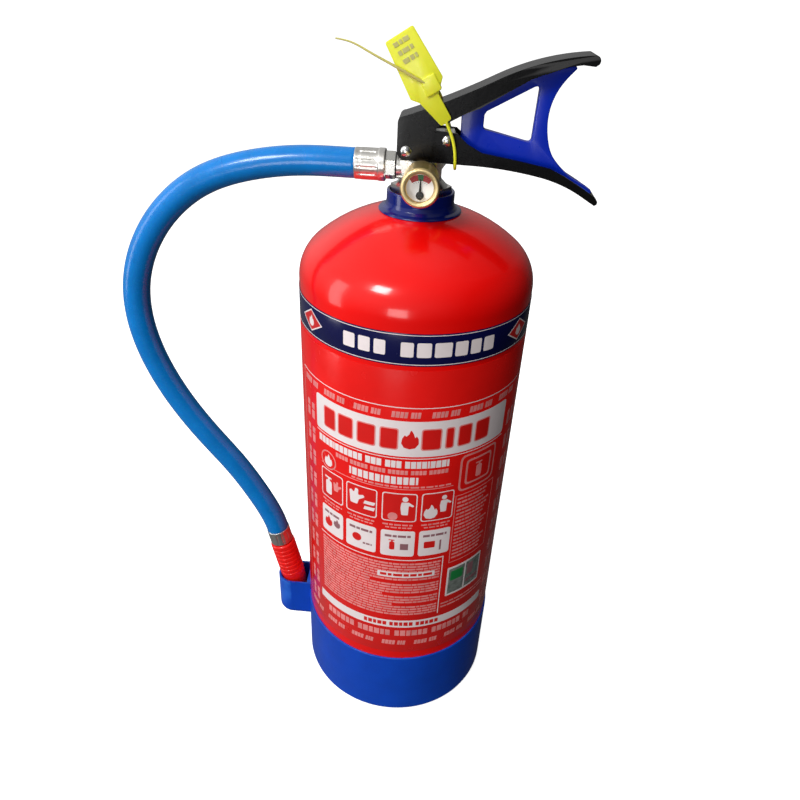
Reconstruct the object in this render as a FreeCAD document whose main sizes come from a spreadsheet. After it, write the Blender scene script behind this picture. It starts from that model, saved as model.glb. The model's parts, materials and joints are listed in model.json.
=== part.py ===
"""Portable stored-pressure dry-powder fire extinguisher, about 520 mm tall, 160 mm cylinder.

Frame: millimetres, +Z up along the cylinder axis, origin at the centre of the base's bottom face,
+X towards the ends of the carry handle and squeeze lever, -Y towards the pressure gauge.
The hose leaves the valve along -X and returns to a cup moulded on the base skirt.
"""
import FreeCAD, Part
import math
import os

import Sketcher
from FreeCAD import Placement, Rotation, Vector

doc = FreeCAD.newDocument("fire_extinguisher")

# ---------------------------------------------------------------- driving dimensions
# Names ending in z, low, high, top, bottom or floor are heights; "half" is half a width.
SIZES = [
    # pressure cylinder
    ("shell_radius", 80.0), ("shell_wall", 2.0), ("shoulder_top", 375.2), ("shoulder_bottom", 52.0),
    ("knuckle_radius", 30.5), ("crown_radius", 107.1), ("neck_hole", 19.03),
    # neck ring and trim collar
    ("neck_outer", 19.0), ("neck_bore", 15.05), ("neck_low", 415.5), ("neck_top", 431.0),
    ("oring_pocket", 17.6), ("oring_floor", 428.4),
    ("collar_flange", 27.2), ("collar_outer", 22.0), ("collar_inner", 20.0), ("collar_top", 433.5),
    # base skirt and nozzle cup
    ("skirt_outer", 81.3), ("skirt_inner", 80.05), ("skirt_lower_inner", 78.6), ("skirt_top", 68.8),
    ("foot_inner", 72.0), ("foot_thick", 2.5), ("shelf_z", 30.0), ("shelf_inner", 70.95),
    ("cup_x", 97.0), ("cup_outer", 14.0), ("cup_inner", 12.2), ("cup_low", 34.0), ("cup_top", 75.0),
    ("cup_floor", 37.5), ("cup_back", 83.2),
    # wrap-round labels
    ("label_inner", 80.06), ("label_outer", 80.3), ("band_low", 347.4), ("band_top", 369.5),
    ("panel_low", 77.0), ("panel_top", 344.0), ("band_sweep", 220.0), ("panel_sweep", 176.0),
    # powder charge
    ("powder_top", 314.5), ("powder_gap", 0.4),
    # valve body
    ("spigot_radius", 15.0), ("spigot_low", 402.0), ("seat_face", 431.2), ("hex_across", 34.0),
    ("hex_top", 436.6), ("barrel_radius", 12.5), ("barrel_top", 452.4), ("block_half", 8.85),
    ("block_top", 470.2), ("outlet_z", 447.5), ("outlet_boss", 8.0), ("outlet_end", 16.0),
    ("gauge_x", 0.6), ("gauge_z", 446.0), ("gauge_boss", 6.5), ("gauge_boss_end", 14.0),
    ("seat_z", 427.0), ("throat_radius", 6.0), ("chamber_radius", 6.5), ("well_radius", 9.0),
    # stem train
    ("stem_radius", 3.0), ("stem_bore", 3.06), ("stem_top", 481.42), ("stem_flange", 7.8),
    ("stem_flange_z", 418.5), ("seal_outer", 8.4), ("spring_mean", 5.6), ("spring_wire", 0.7),
    ("spring_low", 409.4), ("spring_high", 417.7), ("adapter_top", 408.6),
    ("siphon_outer", 8.0), ("siphon_inner", 6.5), ("siphon_low", 14.0),
    # lever, handle and rivets
    ("sheet", 1.6), ("lever_half", 12.5), ("handle_half", 10.6), ("pivot_x", -10.3), ("pivot_z", 459.0),
    ("rivet_x", 14.4), ("rivet_z", 466.0), ("rivet_radius", 2.4), ("rivet_hole", 2.45),
    ("rivet_head", 3.25), ("wedge_thick", 7.0),
    # gauge
    ("case_radius", 11.0), ("case_inner", 10.0), ("bezel_radius", 11.6), ("window_radius", 8.0),
    ("dial_radius", 9.9), ("needle_drop", 5.7), ("needle_reach", 9.8), ("needle_hub", 2.4),
    # hose and nozzle
    ("hose_radius", 9.4), ("hose_bore", 6.15), ("hose_crimped", 8.75), ("ferrule_inner", 8.82),
    ("nozzle_radius", 10.6), ("nozzle_tip", 8.3), ("hose_gap", 5.5),
]
sheet = doc.addObject("Spreadsheet::Sheet", "dims")
for row, (alias, value) in enumerate(SIZES, start=1):
    sheet.set("A%d" % row, alias)
    sheet.set("B%d" % row, repr(float(value)))
    sheet.setAlias("B%d" % row, alias)
doc.recompute()


class Size:
    """A value together with the expression that binds it to the sheet.

    In arithmetic with plain numbers, the Size stands on the left.
    """

    def __init__(self, value, text):
        self.value = value
        self.text = text

    def _join(self, other, sign, value):
        other_text = other.text if isinstance(other, Size) else repr(float(other))
        return Size(value, "(%s %s %s)" % (self.text, sign, other_text))

    def __add__(self, other):
        return self._join(other, "+", self.value + number(other))

    def __sub__(self, other):
        return self._join(other, "-", self.value - number(other))

    def __mul__(self, other):
        return self._join(other, "*", self.value * number(other))

    def __truediv__(self, other):
        return self._join(other, "/", self.value / number(other))

    def __neg__(self):
        return Size(-self.value, "(0 - %s)" % self.text)


def number(size):
    return size.value if isinstance(size, Size) else float(size)


def root(size):
    return Size(math.sqrt(size.value), "sqrt(%s)" % size.text)


class Dims:
    """Reads each size back from its sheet cell."""

    def __getattr__(self, alias):
        return Size(float(sheet.get(alias)), "dims." + alias)


dim = Dims()


# ---------------------------------------------------------------- sketch helpers
class Arc:
    """An arc edge to the next corner, given its radius and a rough centre."""

    def __init__(self, radius, centre_x, centre_y):
        self.radius = radius
        self.centre = Vector(number(centre_x), number(centre_y), 0)


def new_sketch(body, name, role, offset=0.0):
    """Empty sketch on an origin plane of the body, moved along the plane's normal."""
    sketch = body.newObject("Sketcher::SketchObject", name)
    plane = next(item for item in body.Origin.OriginFeatures if item.Role == role)
    sketch.AttachmentSupport = [(plane, "")]
    sketch.MapMode = "FlatFace"
    sketch.AttachmentOffset = Placement(Vector(0, 0, number(offset)), Rotation())
    if isinstance(offset, Size):
        sketch.setExpression("AttachmentOffset.Base.z", offset.text)
    return sketch


def constrain(sketch, kind, *target, size):
    index = sketch.addConstraint(Sketcher.Constraint(kind, *target, number(size)))
    if isinstance(size, Size):
        sketch.setExpression("Constraints[%d]" % index, size.text)


def fix_point(sketch, edge, point, x, y):
    """Dimensions a point from the origin, or lays it on the axis (-1 is X, -2 is Y)."""
    for kind, size, axis in (("DistanceX", x, -2), ("DistanceY", y, -1)):
        if abs(number(size)) < 1e-9:
            sketch.addConstraint(Sketcher.Constraint("PointOnObject", edge, point, axis))
        else:
            constrain(sketch, kind, edge, point, size=size)


def arc_edge(arc, start, end):
    """Shorter arc between two points, and the numbers of its points at start and end."""
    radius = number(arc.radius)
    chord = end - start
    middle = (start + end) * 0.5
    height = math.sqrt(max(radius ** 2 - chord.Length ** 2 / 4.0, 0.0))
    across = Vector(-chord.y, chord.x, 0) * (1.0 / chord.Length)
    centre = min((middle + across * height, middle - across * height),
                 key=lambda point: (point - arc.centre).Length)
    start_angle = math.atan2(start.y - centre.y, start.x - centre.x)
    end_angle = math.atan2(end.y - centre.y, end.x - centre.x)
    points = (1, 2)
    # A sketch arc always runs counter-clockwise.
    if (end_angle - start_angle) % (2 * math.pi) > math.pi + 1e-9:
        start_angle, end_angle = end_angle, start_angle
        points = (2, 1)
    if end_angle < start_angle:
        end_angle += 2 * math.pi
    full = Part.Circle(centre, Vector(0, 0, 1), radius)
    return Part.ArcOfCircle(full, start_angle, end_angle), points


def add_outline(sketch, items):
    """Closed outline. items: corners (x, y), each optionally followed by an Arc to the next one."""
    corners, arcs = [], {}
    for item in items:
        if isinstance(item, Arc):
            arcs[len(corners) - 1] = item
        else:
            corners.append(item)
    count = len(corners)
    first = sketch.GeometryCount
    vectors = [Vector(number(x), number(y), 0) for x, y in corners]
    ends = []
    for i in range(count):
        start, end = vectors[i], vectors[(i + 1) % count]
        if i in arcs:
            edge, points = arc_edge(arcs[i], start, end)
        else:
            edge, points = Part.LineSegment(start, end), (1, 2)
        sketch.addGeometry(edge, False)
        ends.append(points)
    for i in range(count):
        following = (i + 1) % count
        sketch.addConstraint(Sketcher.Constraint(
            "Coincident", first + i, ends[i][1], first + following, ends[following][0]))
    for i, (x, y) in enumerate(corners):
        fix_point(sketch, first + i, ends[i][0], x, y)
        if i in arcs:
            constrain(sketch, "Radius", first + i, size=arcs[i].radius)


def add_circle(sketch, x, y, radius):
    full = Part.Circle(Vector(number(x), number(y), 0), Vector(0, 0, 1), number(radius))
    edge = sketch.addGeometry(full, False)
    fix_point(sketch, edge, 3, x, y)
    constrain(sketch, "Radius", edge, size=radius)


def outline_sketch(body, name, role, items, offset=0.0):
    sketch = new_sketch(body, name, role, offset)
    add_outline(sketch, items)
    return sketch


def circle_sketch(body, name, role, x, y, radius, offset=0.0):
    sketch = new_sketch(body, name, role, offset)
    add_circle(sketch, x, y, radius)
    return sketch


def hexagon(across):
    """Corners of a regular hexagon by its width across flats, two of them on the X axis."""
    radius = across / math.sqrt(3.0)
    angles = [math.radians(60 * k) for k in range(6)]
    return [(radius * math.cos(angle), radius * math.sin(angle)) for angle in angles]


# ---------------------------------------------------------------- solid helpers
PAST = 1.0  # how far a cut starts outside the material
THROUGH = 40.0  # length of the cuts that pass right through in Y


def bind(obj, prop, size):
    """Sets a property, and binds it to the sheet when the size comes from there."""
    setattr(obj, prop, number(size))
    if isinstance(size, Size):
        obj.setExpression(prop, size.text)


def put(obj, x=0.0, y=0.0, z=0.0, rotation=None):
    obj.Placement = Placement(Vector(number(x), number(y), number(z)), rotation or Rotation())
    for axis, size in (("x", x), ("y", y), ("z", z)):
        if isinstance(size, Size):
            obj.setExpression("Placement.Base." + axis, size.text)
    return obj


def new_body(name):
    return doc.addObject("PartDesign::Body", name)


def turned(body, name, items, angle=360.0, mid=False, role="XZ_Plane"):
    """Revolves an outline of (radius, height) corners about the body's Z axis."""
    profile = outline_sketch(body, name + "_profile", role, items)
    feature = body.newObject("PartDesign::Revolution", name + "_turned")
    feature.Profile = (profile, [""])
    feature.ReferenceAxis = (profile, ["V_Axis"])
    feature.Midplane = mid
    bind(feature, "Angle", angle)


def turned_body(name, items, **options):
    body = new_body(name)
    turned(body, name, items, **options)
    return body


def padded(body, name, profile, length, mid=False):
    pad = body.newObject("PartDesign::Pad", name)
    pad.Profile = (profile, [""])
    pad.Midplane = mid
    bind(pad, "Length", length)


def volume_now(body):
    doc.recompute()
    return body.Shape.Volume


def check_cut(body, name, before):
    if volume_now(body) >= before - 1e-3:
        raise RuntimeError("nothing was cut by: " + name)


def grooved(body, name, items):
    """Cuts a turned hollow."""
    before = volume_now(body)
    profile = outline_sketch(body, name + "_profile", "XZ_Plane", items)
    cut = body.newObject("PartDesign::Groove", name + "_groove")
    cut.Profile = (profile, [""])
    cut.ReferenceAxis = (profile, ["V_Axis"])
    cut.Angle = 360.0
    check_cut(body, name, before)


def pocketed(body, name, profile, length, mid=False, reverse=False):
    before = volume_now(body)
    cut = body.newObject("PartDesign::Pocket", name)
    cut.Profile = (profile, [""])
    cut.Midplane = mid
    cut.Reversed = reverse
    bind(cut, "Length", length)
    check_cut(body, name, before)


def cross_drilled(body, name, sketch_name, x, z):
    """Rivet hole right through the body along Y."""
    hole = circle_sketch(body, sketch_name, "XZ_Plane", x, z, dim.rivet_hole)
    pocketed(body, name, hole, THROUGH, mid=True)


def primitive(kind, name, **sizes):
    obj = doc.addObject("Part::" + kind, name)
    for prop, size in sizes.items():
        bind(obj, prop, size)
    return obj


def cut_of(name, base, tool):
    obj = doc.addObject("Part::Cut", name)
    obj.Base = base
    obj.Tool = tool
    return obj


def fuse_of(name, shapes):
    obj = doc.addObject("Part::MultiFuse", name)
    obj.Shapes = shapes
    return obj


def wire_feature(name, edge):
    obj = doc.addObject("Part::Feature", name)
    obj.Shape = Part.Wire([edge])
    return obj


def swept(name, section_name, spine, radius, start, direction, frenet):
    """Round bar along a spine that sets off from start in the given direction."""
    section = primitive("Circle", section_name, Radius=radius)
    section.Placement = Placement(start, Rotation(Vector(0, 0, 1), direction))
    sweep = doc.addObject("Part::Sweep", name)
    sweep.Sections = [section]
    sweep.Spine = (spine, ["Edge1"])
    sweep.Solid = True
    sweep.Frenet = frenet
    return sweep


# Local +Z to -Y, local +Y to +Z: gauge parts are turned about the gauge axis.
TO_FRONT = Rotation(Vector(1, 0, 0), 90)
# Local +Z to -X, local +X to +Z: hose fittings are turned about the outlet axis.
TO_LEFT = Rotation(Vector(0, 1, 0), -90)

# ---------------------------------------------------------------- pressure cylinder
# Torispherical ends: a crown arc centred on the axis meets a knuckle arc at each shoulder.
knuckle_centre = dim.shell_radius - dim.knuckle_radius  # its distance from the axis
centre_span = dim.crown_radius - dim.knuckle_radius
centre_rise = root(centre_span * centre_span - knuckle_centre * knuckle_centre)
top_crown_z = dim.shoulder_top - centre_rise
bottom_crown_z = dim.shoulder_bottom + centre_rise
POLE = 0.5  # half width of the tiny flat where the bottom crown meets the axis


def crown_height(crown, radius):
    """Height of a crown arc above its centre, at a distance from the axis."""
    return root(crown * crown - radius * radius)


def tangent_point(crown):
    """Where crown and knuckle meet: distance from the axis, height from the crown centre."""
    return knuckle_centre * crown / centre_span, centre_rise * crown / centre_span


def dome_profile(offset):
    """Vessel outline at an offset inside the outer face, from the neck hole to the bottom pole."""
    crown = dim.crown_radius - offset
    knuckle = dim.knuckle_radius - offset
    side = dim.shell_radius - offset
    tangent_x, tangent_z = tangent_point(crown)
    pole_z = bottom_crown_z - crown_height(crown, POLE)
    return [
        (dim.neck_hole, top_crown_z + crown_height(crown, dim.neck_hole)),
        Arc(crown, 0.0, top_crown_z),
        (tangent_x, top_crown_z + tangent_z), Arc(knuckle, knuckle_centre, dim.shoulder_top),
        (side, dim.shoulder_top),
        (side, dim.shoulder_bottom), Arc(knuckle, knuckle_centre, dim.shoulder_bottom),
        (tangent_x, bottom_crown_z - tangent_z), Arc(crown, 0.0, bottom_crown_z),
        (POLE, pole_z), (0.0, pole_z),
    ]


def cylinder_shell():
    inside = dome_profile(dim.shell_wall)
    return turned_body("cylinder_shell", dome_profile(0.0) + inside[::-1])


def powder_charge():
    """The loose powder, as one settled bed round the siphon tube."""
    inset = dim.shell_wall + dim.powder_gap
    crown = dim.crown_radius - inset
    side = dim.shell_radius - inset
    hole = dim.siphon_outer + dim.powder_gap
    tangent_x, tangent_z = tangent_point(crown)
    return turned_body("powder_charge", [
        (hole, dim.powder_top), (side, dim.powder_top), (side, dim.shoulder_bottom),
        Arc(dim.knuckle_radius - inset, knuckle_centre, dim.shoulder_bottom),
        (tangent_x, bottom_crown_z - tangent_z), Arc(crown, 0.0, bottom_crown_z),
        (hole, bottom_crown_z - crown_height(crown, hole)),
    ])


def neck_ring():
    """Ring set in the dome, with the O-ring recess at its mouth."""
    return turned_body("neck_ring", [
        (dim.neck_bore, dim.neck_low), (dim.neck_outer, dim.neck_low),
        (dim.neck_outer, dim.neck_top), (dim.oring_pocket, dim.neck_top),
        (dim.oring_pocket, dim.oring_floor), (dim.neck_bore, dim.oring_floor),
    ])


def neck_collar():
    """Flared trim collar that rests on the crown round the neck."""
    seat = dim.crown_radius + 0.06
    bore = dim.neck_outer + 0.1
    flange, outer, top = dim.collar_flange, dim.collar_outer, dim.collar_top
    return turned_body("neck_collar", [
        (bore, top_crown_z + crown_height(seat, bore)), Arc(seat, 0.0, top_crown_z),
        (flange, top_crown_z + crown_height(seat, flange)),
        (flange, top - 12.3), (flange - 0.8, top - 11.7), (outer + 2.3, top - 11.0),
        (outer + 0.7, top - 9.3), (outer, top - 7.0), (outer, top - 0.6), (outer - 0.6, top),
        (dim.collar_inner, top), (dim.collar_inner, top - 7.6), (bore, top - 8.6),
    ])


# ---------------------------------------------------------------- base skirt with nozzle cup
SKIRT_STEP_Z = 44.0  # the skirt fits the cylinder closely above this height
FOOT_ROUND = 3.0
SHELF_THICK = 3.0
CUP_ROOT_X = -79.4  # where the cup's outside starts, within the skirt wall
CUP_BOTTOM_ROUND = 5.5


def cup_outline(back_x, radius):
    """U shape open towards the cylinder, with a round end at the cup's centre."""
    end = Arc(radius, -dim.cup_x, 0.0)
    return [(back_x, radius), (-dim.cup_x, radius), end, (-dim.cup_x - radius, 0.0), end,
            (-dim.cup_x, -radius), (back_x, -radius)]


def round_cup_bottom(skirt):
    """Rounds the edges of the cup's underside at its outer end."""
    doc.recompute()
    low = dim.cup_low.value
    edges = []
    for i, edge in enumerate(skirt.Tip.Shape.Edges, start=1):
        box = edge.BoundBox
        flat = abs(box.ZMin - low) < 0.01 and abs(box.ZMax - low) < 0.01
        if flat and box.XMin < -dim.cup_x.value + 1.0:
            edges.append("Edge%d" % i)
    if not edges:
        raise RuntimeError("no edge to round on the cup")
    tip = skirt.Tip
    fillet = skirt.newObject("PartDesign::Fillet", "cup_bottom_round")
    fillet.Base = (tip, edges)
    fillet.Radius = CUP_BOTTOM_ROUND
    doc.recompute()


def base_skirt():
    outer, top = dim.skirt_outer, dim.skirt_top
    skirt = turned_body("base_skirt", [
        (dim.foot_inner, 0.0),
        (outer - FOOT_ROUND, 0.0), Arc(FOOT_ROUND, outer - FOOT_ROUND, FOOT_ROUND),
        (outer, FOOT_ROUND), (outer, top - 0.5), (outer - 0.5, top),
        (dim.skirt_inner, top), (dim.skirt_inner, SKIRT_STEP_Z), (dim.skirt_lower_inner, 42.0),
        (dim.skirt_lower_inner, dim.shelf_z), (dim.shelf_inner, dim.shelf_z),
        (dim.shelf_inner, dim.shelf_z - SHELF_THICK),
        (dim.skirt_lower_inner, dim.shelf_z - SHELF_THICK),
        (dim.skirt_lower_inner, dim.foot_thick), (dim.foot_inner, dim.foot_thick),
    ])
    cup = outline_sketch(skirt, "cup_outer_outline", "XY_Plane",
                         cup_outline(CUP_ROOT_X, dim.cup_outer), dim.cup_low)
    padded(skirt, "cup_outer_pad", cup, dim.cup_top - dim.cup_low)
    round_cup_bottom(skirt)
    # Trim the cup back to the cylinder before hollowing it.
    above = dim.cup_top + PAST
    clearance = circle_sketch(skirt, "cylinder_clearance", "XY_Plane", 0.0, 0.0,
                              dim.skirt_inner, above)
    pocketed(skirt, "cylinder_clearance_cut", clearance, above - SKIRT_STEP_Z)
    hollow = outline_sketch(skirt, "cup_inner_outline", "XY_Plane",
                            cup_outline(-dim.cup_back, dim.cup_inner), above)
    pocketed(skirt, "cup_hollow", hollow, above - dim.cup_floor)
    return skirt


# ---------------------------------------------------------------- wrap-round labels
def wrap_label(name, low, top, sweep):
    """Thin band on the cylinder, centred on the gauge side."""
    return turned_body(name, [
        (-dim.label_inner, low), (-dim.label_outer, low), (-dim.label_outer, top),
        (-dim.label_inner, top),
    ], angle=sweep, mid=True, role="YZ_Plane")


# ---------------------------------------------------------------- valve body
OUTLET_THREAD_RADIUS = 5.55
OUTLET_THREAD_CUT = 8.0
OUTLET_PORT_RADIUS = 4.0
OUTLET_BOSS_LENGTH = 8.0
GAUGE_BOSS_START = 7.5
GAUGE_THREAD_RADIUS = 4.84
GAUGE_THREAD_CUT = 5.7
DRILLING_Y = -9.4
DRILLING_RADIUS = 1.2
DRILLING_LENGTH = 24.0
GLAND_BORE = 5.5


def valve_block():
    """Upper block seen along Y: (x, z)."""
    top = dim.block_top
    return [
        (-12.0, 444.0), (-13.9, 452.0), (-13.9, 460.5), (-11.9, top - 1.2), (-10.6, top),
        (18.6, top), (19.4, top - 0.8), (19.4, 459.0), (12.0, 448.0), (12.0, 444.0),
    ]


def drill_outlet(valve):
    """Threaded mouth and narrower port from the -X end to the chamber."""
    start = -dim.outlet_end - PAST
    thread = circle_sketch(valve, "outlet_thread_hole", "YZ_Plane", 0.0, dim.outlet_z,
                           OUTLET_THREAD_RADIUS, start)
    pocketed(valve, "outlet_thread_cut", thread, OUTLET_THREAD_CUT, reverse=True)
    port = circle_sketch(valve, "outlet_port_hole", "YZ_Plane", 0.0, dim.outlet_z,
                         OUTLET_PORT_RADIUS, start)
    pocketed(valve, "outlet_port_cut", port, dim.outlet_end, reverse=True)


def drill_gauge_way(valve):
    """Threaded gauge hole, and a fine drilling down from its inner end."""
    thread = circle_sketch(valve, "gauge_thread_hole", "XZ_Plane", dim.gauge_x, dim.gauge_z,
                           GAUGE_THREAD_RADIUS, dim.gauge_boss_end + PAST)
    pocketed(valve, "gauge_thread_cut", thread, GAUGE_THREAD_CUT)
    drilling = circle_sketch(valve, "gauge_drilling", "XY_Plane", dim.gauge_x, DRILLING_Y,
                             DRILLING_RADIUS, dim.gauge_z)
    pocketed(valve, "gauge_drilling_cut", drilling, DRILLING_LENGTH)


def valve_body():
    flat, barrel = dim.hex_across / 2.0, dim.barrel_radius
    valve = turned_body("valve_body", [
        (0.0, dim.spigot_low), (dim.spigot_radius, dim.spigot_low),
        (dim.spigot_radius, dim.seat_face), (flat, dim.seat_face), (flat, dim.hex_top),
        (barrel + 0.6, dim.hex_top + 3.9), (barrel, dim.hex_top + 5.0),
        (barrel, dim.barrel_top), (0.0, dim.barrel_top),
    ])
    hexagonal = outline_sketch(valve, "valve_hex", "XY_Plane", hexagon(dim.hex_across),
                               dim.seat_face)
    padded(valve, "valve_hex_pad", hexagonal, dim.hex_top - dim.seat_face)
    block = outline_sketch(valve, "valve_block", "XZ_Plane", valve_block())
    padded(valve, "valve_block_pad", block, dim.block_half * 2.0, mid=True)
    outlet = circle_sketch(valve, "outlet_boss_outline", "YZ_Plane", 0.0, dim.outlet_z,
                           dim.outlet_boss, -dim.outlet_end)
    padded(valve, "outlet_boss_pad", outlet, OUTLET_BOSS_LENGTH)
    gauge = circle_sketch(valve, "gauge_boss_outline", "XZ_Plane", dim.gauge_x, dim.gauge_z,
                          dim.gauge_boss, GAUGE_BOSS_START)
    padded(valve, "gauge_boss_pad", gauge, dim.gauge_boss_end - GAUGE_BOSS_START)
    # From below: well, throat at the seat, chamber, stem bore, gland bore.
    grooved(valve, "stem_way", [
        (0.0, 401.0), (dim.well_radius, 401.0), (dim.well_radius, dim.seat_z),
        (dim.throat_radius, dim.seat_z), (dim.throat_radius, dim.seat_z + 4.0),
        (dim.chamber_radius, dim.seat_z + 4.5), (dim.chamber_radius, 455.0),
        (dim.stem_bore, 456.5), (dim.stem_bore, 459.5), (GLAND_BORE, 459.5),
        (GLAND_BORE, dim.block_top + PAST), (0.0, dim.block_top + PAST),
    ])
    drill_outlet(valve)
    drill_gauge_way(valve)
    cross_drilled(valve, "pivot_hole_cut", "pivot_hole_outline", dim.pivot_x, dim.pivot_z)
    cross_drilled(valve, "rivet_hole_cut", "rivet_hole_outline", dim.rivet_x, dim.rivet_z)
    return valve


def oring(name, ring_radius, cord_radius, height):
    return put(primitive("Torus", name, Radius1=ring_radius, Radius2=cord_radius), z=height)


def gland_nut():
    """Slotted nut above the stem O-ring."""
    top = dim.block_top
    gland = turned_body("gland_nut", [
        (dim.stem_bore, 462.0), (5.44, 462.0), (5.44, top + 0.6), (4.9, top + 1.1),
        (dim.stem_bore, top + 1.1),
    ])
    slot = outline_sketch(gland, "gland_slot", "XY_Plane",
                          [(-8.0, -0.6), (8.0, -0.6), (8.0, 0.6), (-8.0, 0.6)], top + 2.0)
    pocketed(gland, "gland_slot_cut", slot, 2.0)
    return gland


def siphon_adapter():
    """Closes the bottom of the valve and carries the spring and the siphon tube."""
    tube_fit = dim.siphon_outer + 0.04
    return turned_body("siphon_adapter", [
        (5.0, 400.0), (5.0, dim.adapter_top), (8.95, dim.adapter_top), (8.95, 401.95),
        (12.5, 401.95), (12.5, 398.0), (10.0, 397.2), (10.0, 388.0), (tube_fit, 388.0),
        (tube_fit, 400.0),
    ])


def siphon_tube():
    """Dip tube with a slanted mouth."""
    low, top = dim.siphon_low, 399.9
    tube = turned_body("siphon_tube", [
        (dim.siphon_inner, low), (dim.siphon_outer, low), (dim.siphon_outer, top),
        (dim.siphon_inner, top),
    ])
    slant = outline_sketch(tube, "siphon_mouth", "XZ_Plane",
                           [(-9.0, low - PAST), (9.0, low - PAST), (9.0, low + 12.0)])
    pocketed(tube, "siphon_mouth_cut", slant, THROUGH, mid=True)
    return tube


# ---------------------------------------------------------------- stem train
# Stem, rubber face seal and its retaining nut move as one.
stem_fit = dim.stem_radius + 0.04


def valve_stem():
    radius, top, flange_z = dim.stem_radius, dim.stem_top, dim.stem_flange_z
    return turned_body("valve_stem", [
        (0.0, top), Arc(radius, 0.0, top - radius), (radius, top - radius),
        (radius, flange_z + 3.5), (dim.stem_flange, flange_z + 3.5), (dim.stem_flange, flange_z),
        (2.6, flange_z), (2.6, 411.4), (2.1, 411.0), (0.0, 411.0),
    ])


def stem_seal():
    return turned_body("stem_seal", [
        (stem_fit, 422.04), (dim.seal_outer, 422.04), (dim.seal_outer, 426.3),
        (dim.seal_outer - 0.6, 426.9), (stem_fit, 426.9),
    ])


def seal_nut():
    return turned_body("seal_nut", [
        (stem_fit, 426.94), (5.0, 426.94), (5.4, 427.3), (5.4, 429.0), (5.0, 429.5),
        (stem_fit, 429.5),
    ])


SPRING_TURNS = 3.5
SPRING_STEPS = 84


def stem_spring():
    """Return spring: its centre line is one smooth curve through points of a helix."""
    mean = dim.spring_mean.value
    height = dim.spring_high.value - dim.spring_low.value
    points = []
    for i in range(SPRING_STEPS + 1):
        angle = 2.0 * math.pi * SPRING_TURNS * i / SPRING_STEPS
        points.append(Vector(mean * math.cos(angle), mean * math.sin(angle),
                             height * i / SPRING_STEPS))
    centre_line = Part.BSplineCurve()
    centre_line.interpolate(points)
    wire = Part.Wire([centre_line.toShape()])
    edge = wire.Edges[0]
    section = Part.makeCircle(dim.spring_wire.value, Vector(mean, 0, 0),
                              edge.tangentAt(edge.FirstParameter))
    coil = doc.addObject("Part::Feature", "stem_spring")
    coil.Shape = wire.makePipeShell([Part.Wire([section])], True, True)
    return put(coil, z=dim.spring_low)


# ---------------------------------------------------------------- carry handle
# Side outlines (x, z). Each hollow leaves one sheet thickness and runs out past the open side.
HANDLE_SIDE = [
    (-13.6, 453.2), (15.0, 452.6), (26.0, 452.3), Arc(250.0, 20.0, 202.0), (70.7, 448.1),
    Arc(90.0, 46.0, 361.5), (102.3, 436.3), (109.2, 432.4), (110.6, 433.2), (110.9, 435.0),
    (109.2, 437.4), (100.0, 442.8), (88.0, 449.2), (78.5, 453.4), (59.7, 456.7), (36.0, 460.2),
    (27.0, 464.8), (20.0, 470.6), (8.0, 471.4), (-9.0, 464.6), (-13.6, 461.5),
]
HANDLE_HOLLOW = [
    (-20.0, 440.0), (18.4, 440.0), (18.4, 454.2), (26.3, 453.9), Arc(251.6, 20.0, 202.0),
    (71.3, 449.7), Arc(91.6, 46.0, 361.5), (103.2, 437.8), (107.6, 435.4), (130.0, 450.0),
    (130.0, 490.0), (-20.0, 490.0),
]


def channel(body, name, side, hollow, half_width):
    """Sheet-metal channel: a solid blank, hollowed between its two cheeks."""
    blank = outline_sketch(body, name + "_side", "XZ_Plane", side)
    padded(body, name + "_blank", blank, half_width * 2.0, mid=True)
    inside = outline_sketch(body, name + "_hollow", "XZ_Plane", hollow)
    pocketed(body, name + "_hollow_cut", inside, (half_width - dim.sheet) * 2.0, mid=True)


def carry_handle():
    handle = new_body("carry_handle")
    channel(handle, "handle", HANDLE_SIDE, HANDLE_HOLLOW, dim.handle_half)
    cross_drilled(handle, "handle_pivot_cut", "handle_pivot_hole", dim.pivot_x, dim.pivot_z)
    cross_drilled(handle, "handle_rivet_cut", "handle_rivet_hole", dim.rivet_x, dim.rivet_z)
    return handle


# ---------------------------------------------------------------- squeeze lever
LEVER_SIDE = [
    (-15.9, 457.2), (-15.9, 475.6), Arc(3.6, -12.3, 475.4), (-12.6, 479.0),
    Arc(455.0, -165.0, 906.0), (40.0, 501.2), Arc(150.0, 94.0, 366.0), (94.6, 516.8),
    Arc(3.0, 94.2, 513.9), (96.8, 512.2), (95.0, 510.9), (88.0, 511.4), (80.5, 510.2),
    (60.7, 503.0), (43.1, 492.4), (32.2, 485.6), (24.3, 482.3), (14.4, 476.8), (9.0, 474.6),
    (7.0, 472.5), (5.2, 457.4), (4.4, 456.6), (-3.2, 456.6), (-6.6, 453.6), (-12.4, 453.6),
]
LEVER_HOLLOW = [
    (-14.3, 440.0), (-14.3, 475.6), Arc(2.0, -12.3, 475.4), (-12.0, 477.45),
    Arc(456.6, -165.0, 906.0), (40.6, 499.7), Arc(148.4, 94.0, 366.0), (93.4, 515.1),
    (130.0, 515.3), (130.0, 440.0),
]


def squeeze_lever():
    lever = new_body("squeeze_lever")
    channel(lever, "lever", LEVER_SIDE, LEVER_HOLLOW, dim.lever_half)
    cross_drilled(lever, "lever_pivot_cut", "lever_pivot_hole", dim.pivot_x, dim.pivot_z)
    return lever


HEAD_RISE = 1.5
HEAD_GAP = 0.04  # between a rivet head and the cheek under it


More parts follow.
